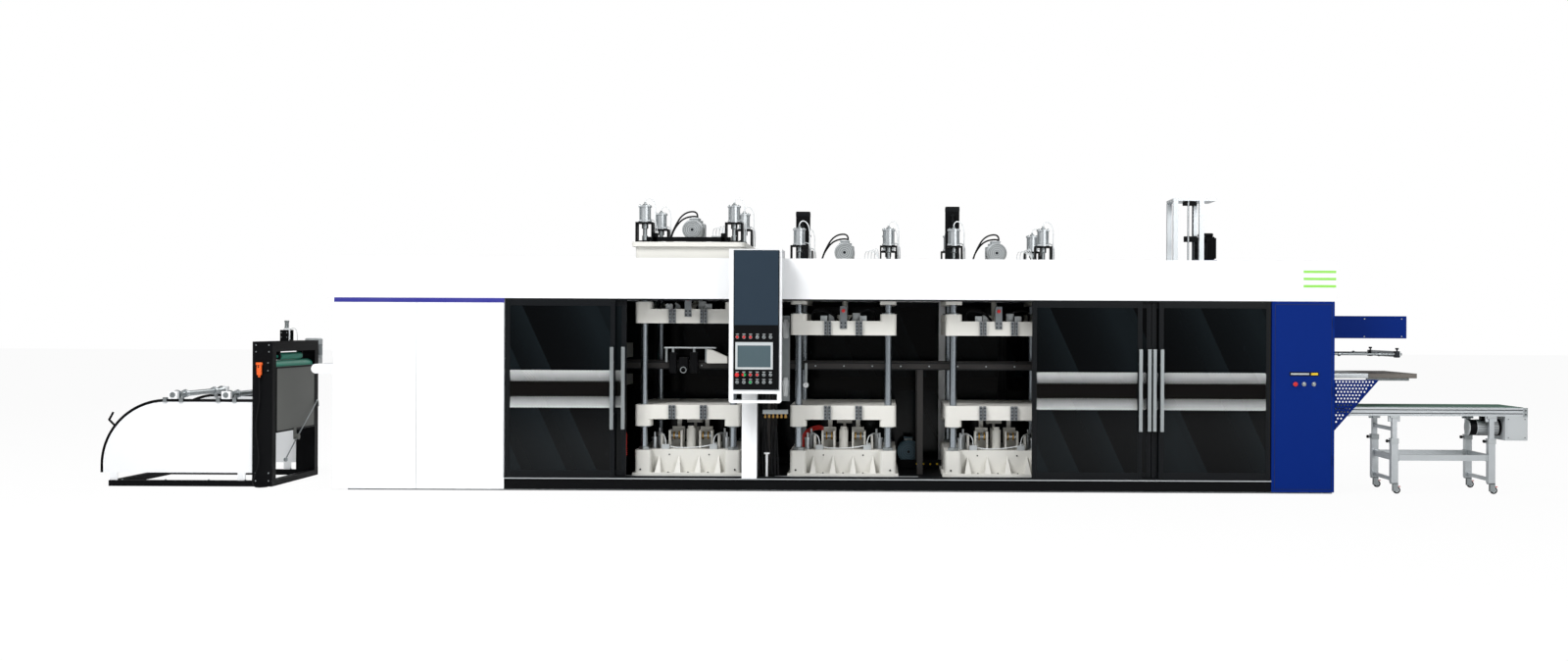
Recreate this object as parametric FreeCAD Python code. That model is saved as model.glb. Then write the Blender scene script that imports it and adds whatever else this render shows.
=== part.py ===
import FreeCAD, Part
import math
import os

# Thermoforming packaging machine with its film unwinder and outfeed conveyor, in millimetres.
# +X is the way the film runs, +Y points away from the operator's side, +Z is up.
# The origin is on the floor under the middle of the main body.

# Shared clearances
SEAT_GAP = 0.3
RUN_GAP = 0.3
PASS_GAP = 6.0

# Main body
BODY_LEFT = -5160.0
BODY_RIGHT = 5140.0
BODY_DEPTH = 1900.0
HEADER_BOTTOM = 1965.0
HEADER_TOP = 2380.0
HEADER_BEAM_DEPTH = 200.0
DECK_THICK = 40.0
END_PLATE_THICK = 40.0
FOOT_HEIGHT = 18.0
FOOT_INSET = 50.0
PLINTH_TOP = 135.0
PLINTH_LIP = 10.0
PLINTH_RECESS = 12.0
BAY_LEFT = -3353.0
BAY_RIGHT = 4480.0

# Oven
OVEN_LEFT = -5100.0
OVEN_SEAM_X = -4250.0
SEAM = 4.0
PANEL_THICK = 30.0
SLOT_BOTTOM = 1285.0
SLOT_HEIGHT = 60.0
SLOT_WIDTH = 1000.0
HEATER_LEFT = -5000.0
HEATER_RIGHT = -2240.0
HEATER_WIDTH = 640.0
UPPER_HEATER_BOTTOM = 1345.0
UPPER_HEATER_HEIGHT = 155.0
LOWER_HEATER_TOP = 1160.0
LOWER_HEATER_HEIGHT = 110.0
HEATER_POST = 60.0
HEATER_POST_INSET = 220.0
INFEED_LENGTH = 300.0
INFEED_WIDTH = 1480.0
INFEED_THICK = 100.0
INFEED_TOP = 1280.0

# Exit end
CABINET_DEPTH = 400.0
CABINET_RIGHT = 5120.0
EXIT_WALL_THICK = 30.0
TABLE_BOTTOM = 1172.0
TABLE_THICK = 49.0
TABLE_SIDE_GAP = 5.0
TABLE_END = 6100.0
TABLE_LIGHT_END = 5590.0
TABLE_OVERLAP = 60.0
HOOD_END = 5994.0
HOOD_BOTTOM = 1588.0
HOOD_TOP = 1822.0
HOOD_SIDE_GAP = 20.0
HOOD_SHEET = 20.0
ROD_Z = 1422.0
ROD_RADIUS = 12.5
ROD_END = 5970.0
ROD_SPREAD = 900.0
ROD_CLAMP = 60.0
GUARD_LENGTH = 460.0
GUARD_HEIGHT = 525.0
GUARD_THICK = 4.0
GUARD_FLANGE = 30.0

# Sliding doors
TRACK_WIDTH = 24.0
TRACK_HEIGHT = 15.0
FRONT_TRACK_INSET = 25.0
TRACK_PITCH = 50.0
LEAF_THICK = 30.0
STILE_WIDTH = 48.0
RAIL_HEIGHT = 60.0
PANE_THICK = 10.0
LEAF_RUN_GAP = 0.3
HANDLE_WIDTH = 38.0
HANDLE_THICK = 20.0
HANDLE_LENGTH = 840.0
HANDLE_Z = 1050.0
HANDLE_REACH = 45.0
STANDOFF_RADIUS = 10.0
STANDOFF_SPACING = 527.0
DOOR_A_LEFT = -3345.0
DOOR_A_WIDTH = 1120.0
DOOR_B_LEFT = -3340.0
DOOR_B_WIDTH = 1222.0
DOOR_C_LEFT = 2035.0
DOOR_C_WIDTH = 1125.0
DOOR_D_LEFT = 3330.0
DOOR_D_WIDTH = 1142.0
DOOR_E_LEFT = 2040.0
DOOR_E_WIDTH = 1218.0
DOOR_F_LEFT = 3264.0
DOOR_F_WIDTH = 1208.0
REAR_LEAVES = 6
REAR_FRAME_THICK = 40.0

# Upright posts of the body
FRONT_POST_X = -850.0
FRONT_POST_WIDTH = 153.0
FRONT_POST_DEPTH = 110.0
REAR_POST_X = 1203.0
REAR_POST_WIDTH = 116.0
REAR_POST_DEPTH = 60.0
STUD_X = -680.0
STUD_RADIUS = 12.0
STUD_HEAD_RADIUS = 30.0
STUD_HEAD_THICK = 16.0
STUD_HEIGHT = 255.0

# Press stations
STATION_X = (-1510.0, 100.0, 1710.0)
STATION_LIFT = (117.0, 0.0, 0.0)
CROWN_TOP = (2556.0, 2322.0, 2322.0)
PLATEN_LENGTH = 1100.0
PRESS_MARGIN = 60.0
PLATEN_ROUND = 38.0
COLUMN_RADIUS = 37.5
COLUMN_INSET_X = 85.0
COLUMN_INSET_Y = 90.0
BASE_STEP_X = 25.0
BASE_STEP_Y = 10.0
BASE_TOP = 400.0
BASE_FLANGE = 30.0
BASE_CORE_INSET = 150.0
RIB_OFFSETS = (-310.0, -105.0, 105.0, 310.0)
RIB_WIDTH = 64.0
RIB_HEIGHT = 170.0
RIB_TIP = 8.0
LOWER_TOP = 869.0
LOWER_THICK = 147.0
BOSS_DROP = 72.0
BOSS_SIZE = 160.0
UPPER_BOTTOM = 1598.0
UPPER_THICK = 148.0
BOSS_RISE = 66.0
CROWN_BOTTOM = 1917.0
CROWN_RECESS = 140.0
CROWN_PLATE_THICK = 46.0
CROWN_LIP = 40.0
CORNER_BOSS = 72.0
BORE_GAP = 0.3
GUIDE_OFFSETS = (-182.0, -142.0, 142.0, 182.0)
GUIDE_WIDTH = 30.0
GUIDE_HEIGHT = 140.0
GUIDE_THICK = 32.0
SCREW_RADIUS = 30.0
SCREW_LENGTH = 290.0
SCREW_HOLE_DEPTH = 330.0
BALANCE_RADIUS = 40.0
BALANCE_TOP = 600.0
BALANCE_WALL = 8.0
ROD_OF_BALANCE = 15.0
ROD_BOTTOM = 430.0
CRANK_OFFSET = 148.0
CRANK_Z = 534.0
CRANK_RADIUS = 55.0
CRANK_THICK = 40.0
CRANK_Y = -220.0
CRANK_HUB_LENGTH = 24.0
PEDESTAL_THICK = 24.0
PEDESTAL_WIDTH = 130.0
PEDESTAL_TOP = 620.0
LINK_WIDTH = 44.0
LINK_THICK = 26.0
LINK_Z = 520.0

# Drives on the crowns
STAND_WIDTH = 180.0
STAND_DEPTH = 150.0
STAND_HEIGHT = 209.0
STAND_PLATE = 16.0
LOCK_RADIUS = 60.0
LOCK_HEIGHT = 175.0
LOCK_CAP = 68.0
LOCK_CAP_HEIGHT = 20.0
MOTOR_RADIUS = 92.0
MOTOR_LENGTH = 300.0
MOTOR_FRONT_Y = -380.0
MOTOR_RISE = 148.0
MOTOR_FOOT_WIDTH = 150.0
MOTOR_BOX = 90.0
SERVO_OFFSET = -456.0
SERVO_SIDE = 150.0
SERVO_HEIGHT = (0.0, 600.0, 660.0)
SERVO_FLANGE = 190.0
SERVO_FLANGE_THICK = 24.0
FLOOR_MOTOR_X = 800.0
FLOOR_MOTOR_Y = 420.0
FLOOR_MOTOR_RADIUS = 110.0
FLOOR_MOTOR_LENGTH = 280.0
FLOOR_MOTOR_FOOT = 60.0

# Chain rails
CHAIN_RAIL_BOTTOM = 1232.0
CHAIN_RAIL_HEIGHT = 79.0
CHAIN_RAIL_THICK = 50.0
CHAIN_RAIL_Y = 380.0
CHAIN_RAIL_LEFT = -5060.0
CHAIN_RAIL_RIGHT = 4470.0
RAIL_POST = 60.0
RAIL_POST_X = (-4650.0, -2660.0, -705.0, 905.0, 2515.0, 4200.0)

# Operator pendant
PENDANT_LEFT = -1032.0
PENDANT_WIDTH = 526.0
PENDANT_BOTTOM = 919.0
PENDANT_TOP = 2462.0
PENDANT_REACH = 300.0
PENDANT_DEPTH = 120.0
HOOD_INSET = 10.0
GRIP_BOTTOM = 946.0
GRIP_HEIGHT = 66.0
GRIP_MARGIN = 42.0
FACE_MARGIN = 46.0
FACE_THICK = 12.0
FACE_BOTTOM = 1052.0
FACE_TOP = 2450.0
PENDANT_ROUND = 26.0
SCREEN_LEFT = -966.0
SCREEN_WIDTH = 376.0
SCREEN_BOTTOM = 1256.0
SCREEN_HEIGHT = 273.0
SCREEN_THICK = 8.0
BUTTON_X = (-947.0, -880.0, -814.0, -746.0, -680.0, -614.0)
BUTTON_ROW_Z = (1579.0, 1202.0, 1128.0)
BUTTON_RADIUS = 15.0
BUTTON_LENGTH = 20.0
MUSHROOM_RADIUS = 22.0
MUSHROOM_LENGTH = 34.0

# Controls on the exit cabinet
DISPLAY_LEFT = 4660.0
DISPLAY_WIDTH = 300.0
DISPLAY_BOTTOM = 1205.0
DISPLAY_HEIGHT = 40.0
DISPLAY_THICK = 6.0
CABINET_BUTTON_X = (4717.0, 4810.0, 4910.0)
CABINET_BUTTON_Z = 1121.0

# Lift frame on the deck
LIFT_X = (3605.0, 3880.0)
LIFT_Y = (-330.0, 30.0)
LIFT_POST = 50.0
LIFT_PLATE_RIGHT = 4034.0
LIFT_PLATE_THICK = 26.0
LIFT_TOP = 3060.0
LIFT_ROD_X = 3742.0
LIFT_ROD_RADIUS = 9.0
LIFT_SERVO_X = 3960.0
LIFT_SERVO_Y = -150.0
LIFT_SERVO_SIDE = 130.0
LIFT_SERVO_HEIGHT = 320.0

# Outfeed conveyor
CONVEYOR_LEFT = 5250.0
CONVEYOR_RIGHT = 7120.0
CONVEYOR_INSET = 65.0
CONVEYOR_WIDTH = 690.0
CONVEYOR_TOP = 890.0
CONVEYOR_SIDE_HEIGHT = 92.0
CONVEYOR_SIDE_THICK = 30.0
BELT_THICK = 4.0
BELT_RISE = 6.0
ROLLER_RADIUS = 36.0
ROLLER_INSET = 48.0
BELT_SIDE_GAP = 6.0
BED_THICK = 20.0
LEG_X = (5757.0, 6752.0)
LEG_SIDE = 50.0
SLEEVE_SIDE = 70.0
SLEEVE_BOTTOM = 112.0
SLEEVE_TOP = 560.0
STRETCHER_BOTTOM = 340.0
STRETCHER_HEIGHT = 60.0
STRETCHER_THICK = 30.0
CASTOR_RADIUS = 37.5
CASTOR_WIDTH = 26.0
CASTOR_TRAIL = 30.0
FORK_THICK = 5.0
FORK_TOP_THICK = 12.0
AXLE_RADIUS = 6.0
DRIVE_BOX_LEFT = 6890.0
DRIVE_BOX_BOTTOM = 550.0
DRIVE_BOX_HEIGHT = 248.0
DRIVE_MOTOR_LEFT = 6560.0
DRIVE_MOTOR_RADIUS = 80.0

# Film unwinder
UNWIND_HALF_WIDTH = 660.0
GANTRY_LEFT = -6038.0
GANTRY_RIGHT = -5829.0
GANTRY_TOP = 1506.0
POST_THICK = 100.0
BEAM_HEIGHT = 106.0
SILL_HEIGHT = 60.0
RAIL_LEFT = -7529.0
SIDE_RAIL_HEIGHT = 60.0
SIDE_RAIL_THICK = 60.0
CROSS_SILL_WIDTH = 80.0
APRON_BOTTOM = 550.0
APRON_TOP = 1240.0
APRON_THICK = 16.0
TUBE_RADIUS = 15.0
TUBE_LEFT = -7627.0
TUBE_TOP = 906.0
TUBE_BEND = 670.0
TUBE_FOOT = 140.0
HOOK_ANGLE = 143.0
HOOK_REACH = 60.0
HOOK_RISE = 90.0
SIDE_SHEET = 12.0
SIDE_FOOT = 80.0
SHAFT_X = (-6870.0, -6316.0)
SHAFT_RADIUS = 28.0
SHAFT_RISE = 42.0
CHUCK_RADIUS = 48.0
CHUCK_LENGTH = 90.0
CHUCK_INSET = 60.0
BLOCK_LENGTH = 96.0
BLOCK_THICK = 50.0
NIP_X = -5912.0
NIP_LOWER_Z = 1245.0
NIP_LOWER_RADIUS = 60.0
NIP_SIDE_GAP = 15.0
NIP_UPPER_RADIUS = 40.0
NIP_UPPER_HALF = 300.0
NIP_SHAFT_RADIUS = 15.0
NIP_ARM_THICK = 24.0
NIP_ARM_WIDTH = 60.0
NIP_GAP = 0.5
LIFT_UNIT_SPREAD = 150.0
LIFT_UNIT_PLATE = 16.0
LIFT_UNIT_DEPTH = 90.0
LIFT_UNIT_HEIGHT = 119.0
LIFT_CYLINDER_RADIUS = 34.0
LIFT_CYLINDER_HEIGHT = 130.0
LIFT_FITTING_RADIUS = 20.0
LIFT_FITTING_HEIGHT = 90.0
GEARBOX_SIDE = 150.0
GEARBOX_HEIGHT = 130.0
GEAR_MOTOR_RADIUS = 82.0
GEAR_MOTOR_HEIGHT = 220.0

# Hand switch and its cord on the unwinder's front post
SWITCH_X = -5954.0
SWITCH_BOTTOM = 1160.0
SWITCH_HEIGHT = 130.0
SWITCH_RADIUS = 26.0
SWITCH_CAP_RADIUS = 34.0
GLAND_RADIUS = 12.0
GLAND_LENGTH = 24.0
CORD_RADIUS = 6.0
CORD_POINTS = (
    (-5954.0, -694.0, 1136.0),
    (-5954.0, -694.0, 1056.0),
    (-5948.0, -696.0, 966.0),
    (-5952.0, -694.0, 866.0),
    (-5972.0, -692.0, 776.0),
    (-5986.0, -694.0, 676.0),
    (-5984.0, -698.0, 566.0),
    (-5966.0, -700.0, 456.0),
    (-5950.0, -698.0, 346.0),
    (-5958.0, -694.0, 236.0),
    (-5984.0, -698.0, 142.0),
    (-6000.0, -726.0, 72.0),
    (-5986.0, -770.0, 26.0),
    (-5944.0, -788.0, 7.0),
    (-5890.0, -772.0, 6.5),
    (-5862.0, -728.0, 6.5),
    (-5862.0, -692.0, 6.5),
)

# Values worked out from the ones above
HALF_DEPTH = BODY_DEPTH / 2
FRONT = -HALF_DEPTH
BACK = HALF_DEPTH
FRONT_TRACK_Y = FRONT + FRONT_TRACK_INSET
REAR_TRACK_Y = FRONT_TRACK_Y + TRACK_PITCH
LEAF_BOTTOM = PLINTH_TOP + TRACK_HEIGHT + LEAF_RUN_GAP
LEAF_TOP = HEADER_BOTTOM - TRACK_HEIGHT - LEAF_RUN_GAP
CABINET_INNER = HALF_DEPTH - CABINET_DEPTH
HEADER_INNER = HALF_DEPTH - HEADER_BEAM_DEPTH
TABLE_WIDTH = 2 * (CABINET_INNER - TABLE_SIDE_GAP)
HOOD_WIDTH = 2 * (CABINET_INNER - HOOD_SIDE_GAP)
PENDANT_FRONT = FRONT - PENDANT_REACH
HOOD_BACK = -HEADER_INNER - HOOD_INSET
CONVEYOR_FRONT = FRONT + CONVEYOR_INSET
NIP_LOWER_HALF = UNWIND_HALF_WIDTH - POST_THICK - NIP_SIDE_GAP
PLATEN_DEPTH = 2 * (HEADER_INNER - PRESS_MARGIN)
COLUMN_SPAN_X = PLATEN_LENGTH - 2 * COLUMN_INSET_X
COLUMN_SPAN_Y = PLATEN_DEPTH - 2 * COLUMN_INSET_Y
BASE_LENGTH = PLATEN_LENGTH + 2 * BASE_STEP_X
BASE_DEPTH = PLATEN_DEPTH + 2 * BASE_STEP_Y


def box(x0, x1, y0, y1, z0, z1):
    """A box between two corners."""
    return Part.makeBox(x1 - x0, y1 - y0, z1 - z0, FreeCAD.Vector(x0, y0, z0))


def rod(start, axis, radius, length):
    """A round bar from a point along an axis."""
    return Part.makeCylinder(radius, length, FreeCAD.Vector(*start), FreeCAD.Vector(*axis))


def upright(x, y, z0, z1, radius):
    """A vertical round bar."""
    return rod((x, y, z0), (0, 0, 1), radius, z1 - z0)


def crosswise(x, z, y0, y1, radius):
    """A round bar along Y."""
    return rod((x, y0, z), (0, 1, 0), radius, y1 - y0)


def fuse(solids):
    """One solid from overlapping or touching ones."""
    return solids[0].multiFuse(solids[1:]).removeSplitter()


def slab(points, y0, y1):
    """A plate parallel to XZ from its outline points."""
    corners = [FreeCAD.Vector(x, y0, z) for x, z in points]
    face = Part.Face(Part.makePolygon(corners + [corners[0]]))
    return face.extrude(FreeCAD.Vector(0, y1 - y0, 0))


def mirrored_y(solid):
    """The same solid on the other side of the middle plane."""
    return solid.mirror(FreeCAD.Vector(0, 0, 0), FreeCAD.Vector(0, 1, 0))


def save(name, solids):
    """Write one node from its separate solids."""
    shape = solids[0] if len(solids) == 1 else Part.makeCompound(solids)
    shape.exportStep(os.path.join("parts", name + ".step"))


def corners(x, span_x, span_y):
    """The four column places of a station."""
    return [(x + sx * span_x / 2, sy * span_y / 2) for sx in (-1, 1) for sy in (-1, 1)]


def rounded_upright(solid, radius, height):
    """Round the vertical edges as tall as the given height."""
    edges = [e for e in solid.Edges
             if abs(e.Length - height) < 0.01 and abs(e.BoundBox.ZLength - height) < 0.01]
    return solid.makeFillet(radius, edges)


# Plinth and base plate

def base_plate():
    """Low foot frame that the whole body stands on."""
    return box(BODY_LEFT + 4 * FOOT_INSET, BODY_RIGHT - FOOT_INSET / 2,
               FRONT + FOOT_INSET, BACK - FOOT_INSET, 0, FOOT_HEIGHT)


def plinth():
    """Dark base channel with a lip along its top."""
    core = box(BAY_LEFT, BAY_RIGHT, FRONT + PLINTH_RECESS, BACK - PLINTH_RECESS,
               FOOT_HEIGHT, PLINTH_TOP - PLINTH_LIP)
    lip = box(BAY_LEFT, BAY_RIGHT, FRONT, BACK, PLINTH_TOP - PLINTH_LIP, PLINTH_TOP)
    return fuse([core, lip])


# Header

def header_beam():
    """Front fascia beam over the doors."""
    return box(BODY_LEFT, BODY_RIGHT, FRONT, -HEADER_INNER, HEADER_BOTTOM, HEADER_TOP)


def header_deck():
    """Top plates between the crowns, and the two end plates."""
    half = PLATEN_LENGTH / 2 + FOOT_INSET
    inner = HEADER_INNER - SEAT_GAP
    starts = [BODY_LEFT] + [x + half for x in STATION_X]
    ends = [x - half for x in STATION_X] + [BODY_RIGHT]
    plates = [box(a, b, -inner, inner, HEADER_TOP - DECK_THICK, HEADER_TOP)
              for a, b in zip(starts, ends)]
    top = HEADER_TOP - DECK_THICK - SEAT_GAP
    plates.append(box(BODY_LEFT, BODY_LEFT + END_PLATE_THICK, -inner, inner, HEADER_BOTTOM, top))
    plates.append(box(BODY_RIGHT - END_PLATE_THICK, BODY_RIGHT, -inner, inner, HEADER_BOTTOM, top))
    return plates


# Oven enclosure

def oven_panels():
    """Two white panels on one long side of the oven."""
    y1 = FRONT + PANEL_THICK
    left = box(OVEN_LEFT, OVEN_SEAM_X - SEAM / 2, FRONT, y1, FOOT_HEIGHT, HEADER_BOTTOM)
    right = box(OVEN_SEAM_X + SEAM / 2, BAY_LEFT, FRONT, y1, FOOT_HEIGHT, HEADER_BOTTOM)
    return [left, right]


def infeed_wall():
    """Oven end wall in four plates around the film slot."""
    x0, x1 = OVEN_LEFT, OVEN_LEFT + PANEL_THICK
    half = HALF_DEPTH - PANEL_THICK - SEAT_GAP
    slot_top = SLOT_BOTTOM + SLOT_HEIGHT
    side = box(x0, x1, -half, -SLOT_WIDTH / 2, SLOT_BOTTOM + SEAT_GAP, slot_top - SEAT_GAP)
    return [box(x0, x1, -half, half, FOOT_HEIGHT, SLOT_BOTTOM),
            box(x0, x1, -half, half, slot_top, HEADER_BOTTOM),
            side, mirrored_y(side)]


def infeed_table():
    """Short white table with a round nose ahead of the oven."""
    radius = INFEED_THICK / 2
    left = OVEN_LEFT - INFEED_LENGTH
    half = INFEED_WIDTH / 2
    top = box(left + radius, OVEN_LEFT, -half, half, INFEED_TOP - INFEED_THICK, INFEED_TOP)
    return fuse([top, crosswise(left + radius, INFEED_TOP - radius, -half, half, radius)])


def heater_box(z0, z1, post_end):
    """One heater bank with its four posts to the frame."""
    half = HEATER_WIDTH / 2
    bank = box(HEATER_LEFT, HEATER_RIGHT, -half, half, z0, z1)
    if post_end > z1:
        low, high = z1, post_end
    else:
        low, high = post_end, z0
    posts = []
    for x in (HEATER_LEFT + HEATER_POST_INSET, HEATER_RIGHT - HEATER_POST_INSET):
        for y in (-half + HEATER_POST, half - HEATER_POST):
            posts.append(box(x - HEATER_POST / 2, x + HEATER_POST / 2,
                             y - HEATER_POST / 2, y + HEATER_POST / 2, low, high))
    return fuse([bank] + posts)


def heater_boxes():
    """Upper bank hung from the deck and lower bank on the base."""
    upper = heater_box(UPPER_HEATER_BOTTOM, UPPER_HEATER_BOTTOM + UPPER_HEATER_HEIGHT,
                       HEADER_TOP - DECK_THICK)
    lower = heater_box(LOWER_HEATER_TOP - LOWER_HEATER_HEIGHT, LOWER_HEATER_TOP, PLINTH_TOP)
    return [upper, lower]


# Exit end

def exit_cabinet():
    """Blue cabinet that closes the front of the exit end."""
    return box(BAY_RIGHT, CABINET_RIGHT, FRONT, -CABINET_INNER, FOOT_HEIGHT, HEADER_BOTTOM)


def exit_wall():
    """Plates under and over the product mouth."""
    x0 = CABINET_RIGHT - EXIT_WALL_THICK
    half = CABINET_INNER - SEAT_GAP
    return [box(x0, CABINET_RIGHT, -half, half, FOOT_HEIGHT, TABLE_BOTTOM),
            box(x0, CABINET_RIGHT, -half, half, HOOD_BOTTOM, HEADER_BOTTOM)]


def exit_table():
    """Light table on the exit wall and its darker extension."""
    half = TABLE_WIDTH / 2
    top = TABLE_BOTTOM + TABLE_THICK
    light = box(CABINET_RIGHT - TABLE_OVERLAP, TABLE_LIGHT_END, -half, half, TABLE_BOTTOM, top)
    dark = box(TABLE_LIGHT_END + SEAT_GAP, TABLE_END, -half, half, TABLE_BOTTOM, top)
    return [light, dark]


def exit_hood():
    """Blue cover, open below, over the stacking arms."""
    half = HOOD_WIDTH / 2
    outer = box(CABINET_RIGHT, HOOD_END, -half, half, HOOD_BOTTOM, HOOD_TOP)
    inner = box(CABINET_RIGHT + HOOD_SHEET, HOOD_END - HOOD_SHEET, -half + HOOD_SHEET,
                half - HOOD_SHEET, HOOD_BOTTOM, HOOD_TOP - HOOD_SHEET)
    return outer.cut(inner)


def guide_rods():
    """Two stacking guide rods joined by a clamp bar at the free end."""
    bars = [rod((CABINET_RIGHT - EXIT_WALL_THICK, s * ROD_SPREAD / 2, ROD_Z), (1, 0, 0),
                ROD_RADIUS, ROD_END - CABINET_RIGHT + EXIT_WALL_THICK) for s in (-1, 1)]
    half = ROD_SPREAD / 2 + ROD_CLAMP / 2
    bars.append(box(ROD_END - ROD_CLAMP, ROD_END - ROD_CLAMP / 3, -half, half,
                    ROD_Z - ROD_CLAMP / 2, ROD_Z + ROD_CLAMP / 2))
    reach = CABINET_INNER - SEAT_GAP
    bars.append(box(CABINET_RIGHT - EXIT_WALL_THICK, CABINET_RIGHT, -reach, reach,
                    ROD_Z - ROD_CLAMP / 2, ROD_Z + ROD_CLAMP / 2))
    return fuse(bars)


def corner_guard():
    """Triangular guard plate beside the exit cabinet with its fixing flange."""
    x0, z1 = CABINET_RIGHT, TABLE_BOTTOM - SEAM
    plate = slab([(x0, z1), (x0 + GUARD_LENGTH, z1), (x0, z1 - GUARD_HEIGHT)],
                 FRONT + PLINTH_RECESS, FRONT + PLINTH_RECESS + GUARD_THICK)
    flange = box(x0, x0 + GUARD_THICK, FRONT + PLINTH_RECESS,
                 FRONT + PLINTH_RECESS + GUARD_FLANGE, z1 - GUARD_HEIGHT + GUARD_FLANGE, z1)
    return fuse([plate, flange])


# Doors

def door_leaf(left, width, track_y, handle_on_right):
    """Leaf frame, pane and pull handle as three solids."""
    y0, y1 = track_y - LEAF_THICK / 2, track_y + LEAF_THICK / 2
    right = left + width
    hole = box(left + STILE_WIDTH, right - STILE_WIDTH, y0, y1,
               LEAF_BOTTOM + RAIL_HEIGHT, LEAF_TOP - RAIL_HEIGHT)
    frame = box(left, right, y0, y1, LEAF_BOTTOM, LEAF_TOP).cut(hole)
    pane = box(left + STILE_WIDTH + SEAT_GAP, right - STILE_WIDTH - SEAT_GAP,
               track_y - PANE_THICK / 2, track_y + PANE_THICK / 2,
               LEAF_BOTTOM + RAIL_HEIGHT + SEAT_GAP, LEAF_TOP - RAIL_HEIGHT - SEAT_GAP)
    centre = right - STILE_WIDTH / 2 if handle_on_right else left + STILE_WIDTH / 2
    face = y0 - SEAT_GAP
    bar = box(centre - HANDLE_WIDTH / 2, centre + HANDLE_WIDTH / 2,
              face - HANDLE_REACH - HANDLE_THICK, face - HANDLE_REACH,
              HANDLE_Z - HANDLE_LENGTH / 2, HANDLE_Z + HANDLE_LENGTH / 2)
    standoffs = [crosswise(centre, HANDLE_Z + s * STANDOFF_SPACING / 2, face - HANDLE_REACH,
                           face, STANDOFF_RADIUS) for s in (-1, 1)]
    return [frame, pane, fuse([bar] + standoffs)]


def door_tracks():
    """Bottom and top guide bars of both door planes, either side of the front post."""
    bars = []
    post_half = FRONT_POST_WIDTH / 2 + SEAT_GAP
    spans = ((BAY_LEFT, FRONT_POST_X - post_half), (FRONT_POST_X + post_half, BAY_RIGHT))
    for y in (FRONT_TRACK_Y, REAR_TRACK_Y):
        for x0, x1 in spans:
            for z0, z1 in ((PLINTH_TOP, PLINTH_TOP + TRACK_HEIGHT),
                           (HEADER_BOTTOM - TRACK_HEIGHT, HEADER_BOTTOM)):
                bars.append(box(x0, x1, y - TRACK_WIDTH / 2, y + TRACK_WIDTH / 2, z0, z1))
    return bars


def rear_wall():
    """Frames and panes of the closed rear side, one leaf beside the next."""
    pitch = (BAY_RIGHT - BAY_LEFT) / REAR_LEAVES
    y0, y1 = BACK - REAR_FRAME_THICK, BACK
    frames, panes = [], []
    for i in range(REAR_LEAVES):
        x0 = BAY_LEFT + i * pitch + SEAT_GAP / 2
        x1 = x0 + pitch - SEAT_GAP
        hole = box(x0 + STILE_WIDTH, x1 - STILE_WIDTH, y0, y1,
                   PLINTH_TOP + RAIL_HEIGHT, HEADER_BOTTOM - RAIL_HEIGHT)
        frames.append(box(x0, x1, y0, y1, PLINTH_TOP, HEADER_BOTTOM).cut(hole))
        middle = (y0 + y1) / 2
        panes.append(box(x0 + STILE_WIDTH, x1 - STILE_WIDTH, middle - PANE_THICK / 2,
                         middle + PANE_THICK / 2, PLINTH_TOP + RAIL_HEIGHT,
                         HEADER_BOTTOM - RAIL_HEIGHT))
    return frames, panes


def body_posts():
    """White front post, white rear post and the short stud beside the front post."""
    half = FRONT_POST_WIDTH / 2
    front = box(FRONT_POST_X - half, FRONT_POST_X + half, FRONT, FRONT + FRONT_POST_DEPTH,
                PLINTH_TOP, HEADER_BOTTOM)
    inner = BACK - REAR_FRAME_THICK
    half = REAR_POST_WIDTH / 2
    rear = box(REAR_POST_X - half, REAR_POST_X + half, inner - REAR_POST_DEPTH, inner,
               PLINTH_TOP, HEADER_BOTTOM)
    stud_y = FRONT + FRONT_POST_DEPTH + STUD_HEAD_RADIUS
    stud_top = PLINTH_TOP + STUD_HEIGHT
    stud = fuse([upright(STUD_X, stud_y, PLINTH_TOP, stud_top, STUD_RADIUS),
                 upright(STUD_X, stud_y, stud_top - STUD_HEAD_THICK, stud_top,
                         STUD_HEAD_RADIUS)])
    return [front, rear, stud]


# Press stations

def corner_blocks(x, z0, z1):
    """Rounded blocks around the four columns, as wide as the column insets allow."""
    blocks = []
    for cx, cy in corners(x, COLUMN_SPAN_X, COLUMN_SPAN_Y):
        block = box(cx - COLUMN_INSET_X, cx + COLUMN_INSET_X, cy - COLUMN_INSET_Y,
                    cy + COLUMN_INSET_Y, z0, z1)
        blocks.append(rounded_upright(block, PLATEN_ROUND, z1 - z0))
    return blocks


def press_base(x):
    """Cast base with column seats and tapered ribs on its long sides."""
    half_l, half_d = BASE_LENGTH / 2, BASE_DEPTH / 2
    flange_top = PLINTH_TOP + BASE_FLANGE
    core_d = half_d - BASE_CORE_INSET
    solids = [box(x - half_l, x + half_l, -half_d, half_d, PLINTH_TOP, flange_top),
              box(x - half_l + BASE_STEP_X, x + half_l - BASE_STEP_X, -core_d, core_d,
                  PLINTH_TOP, BASE_TOP)]
    solids += corner_blocks(x, PLINTH_TOP, BASE_TOP)
    for offset in RIB_OFFSETS:
        rib = tapered_rib(x + offset, core_d, half_d - core_d, flange_top)
        solids += [rib, mirrored_y(rib)]
    return fuse(solids)


def tapered_rib(x, y, reach, z0):
    """Rib that is wide on the flange and runs up to a narrow tip on the core."""
    outlines = []
    for half, depth, z in ((RIB_WIDTH / 2, reach, z0), (RIB_TIP / 2, RIB_TIP, z0 + RIB_HEIGHT)):
        points = [FreeCAD.Vector(x - half, y, z), FreeCAD.Vector(x + half, y, z),
                  FreeCAD.Vector(x + half, y + depth, z), FreeCAD.Vector(x - half, y + depth, z)]
        outlines.append(Part.makePolygon(points + [points[0]]))
    return Part.makeLoft(outlines, True)


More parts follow.
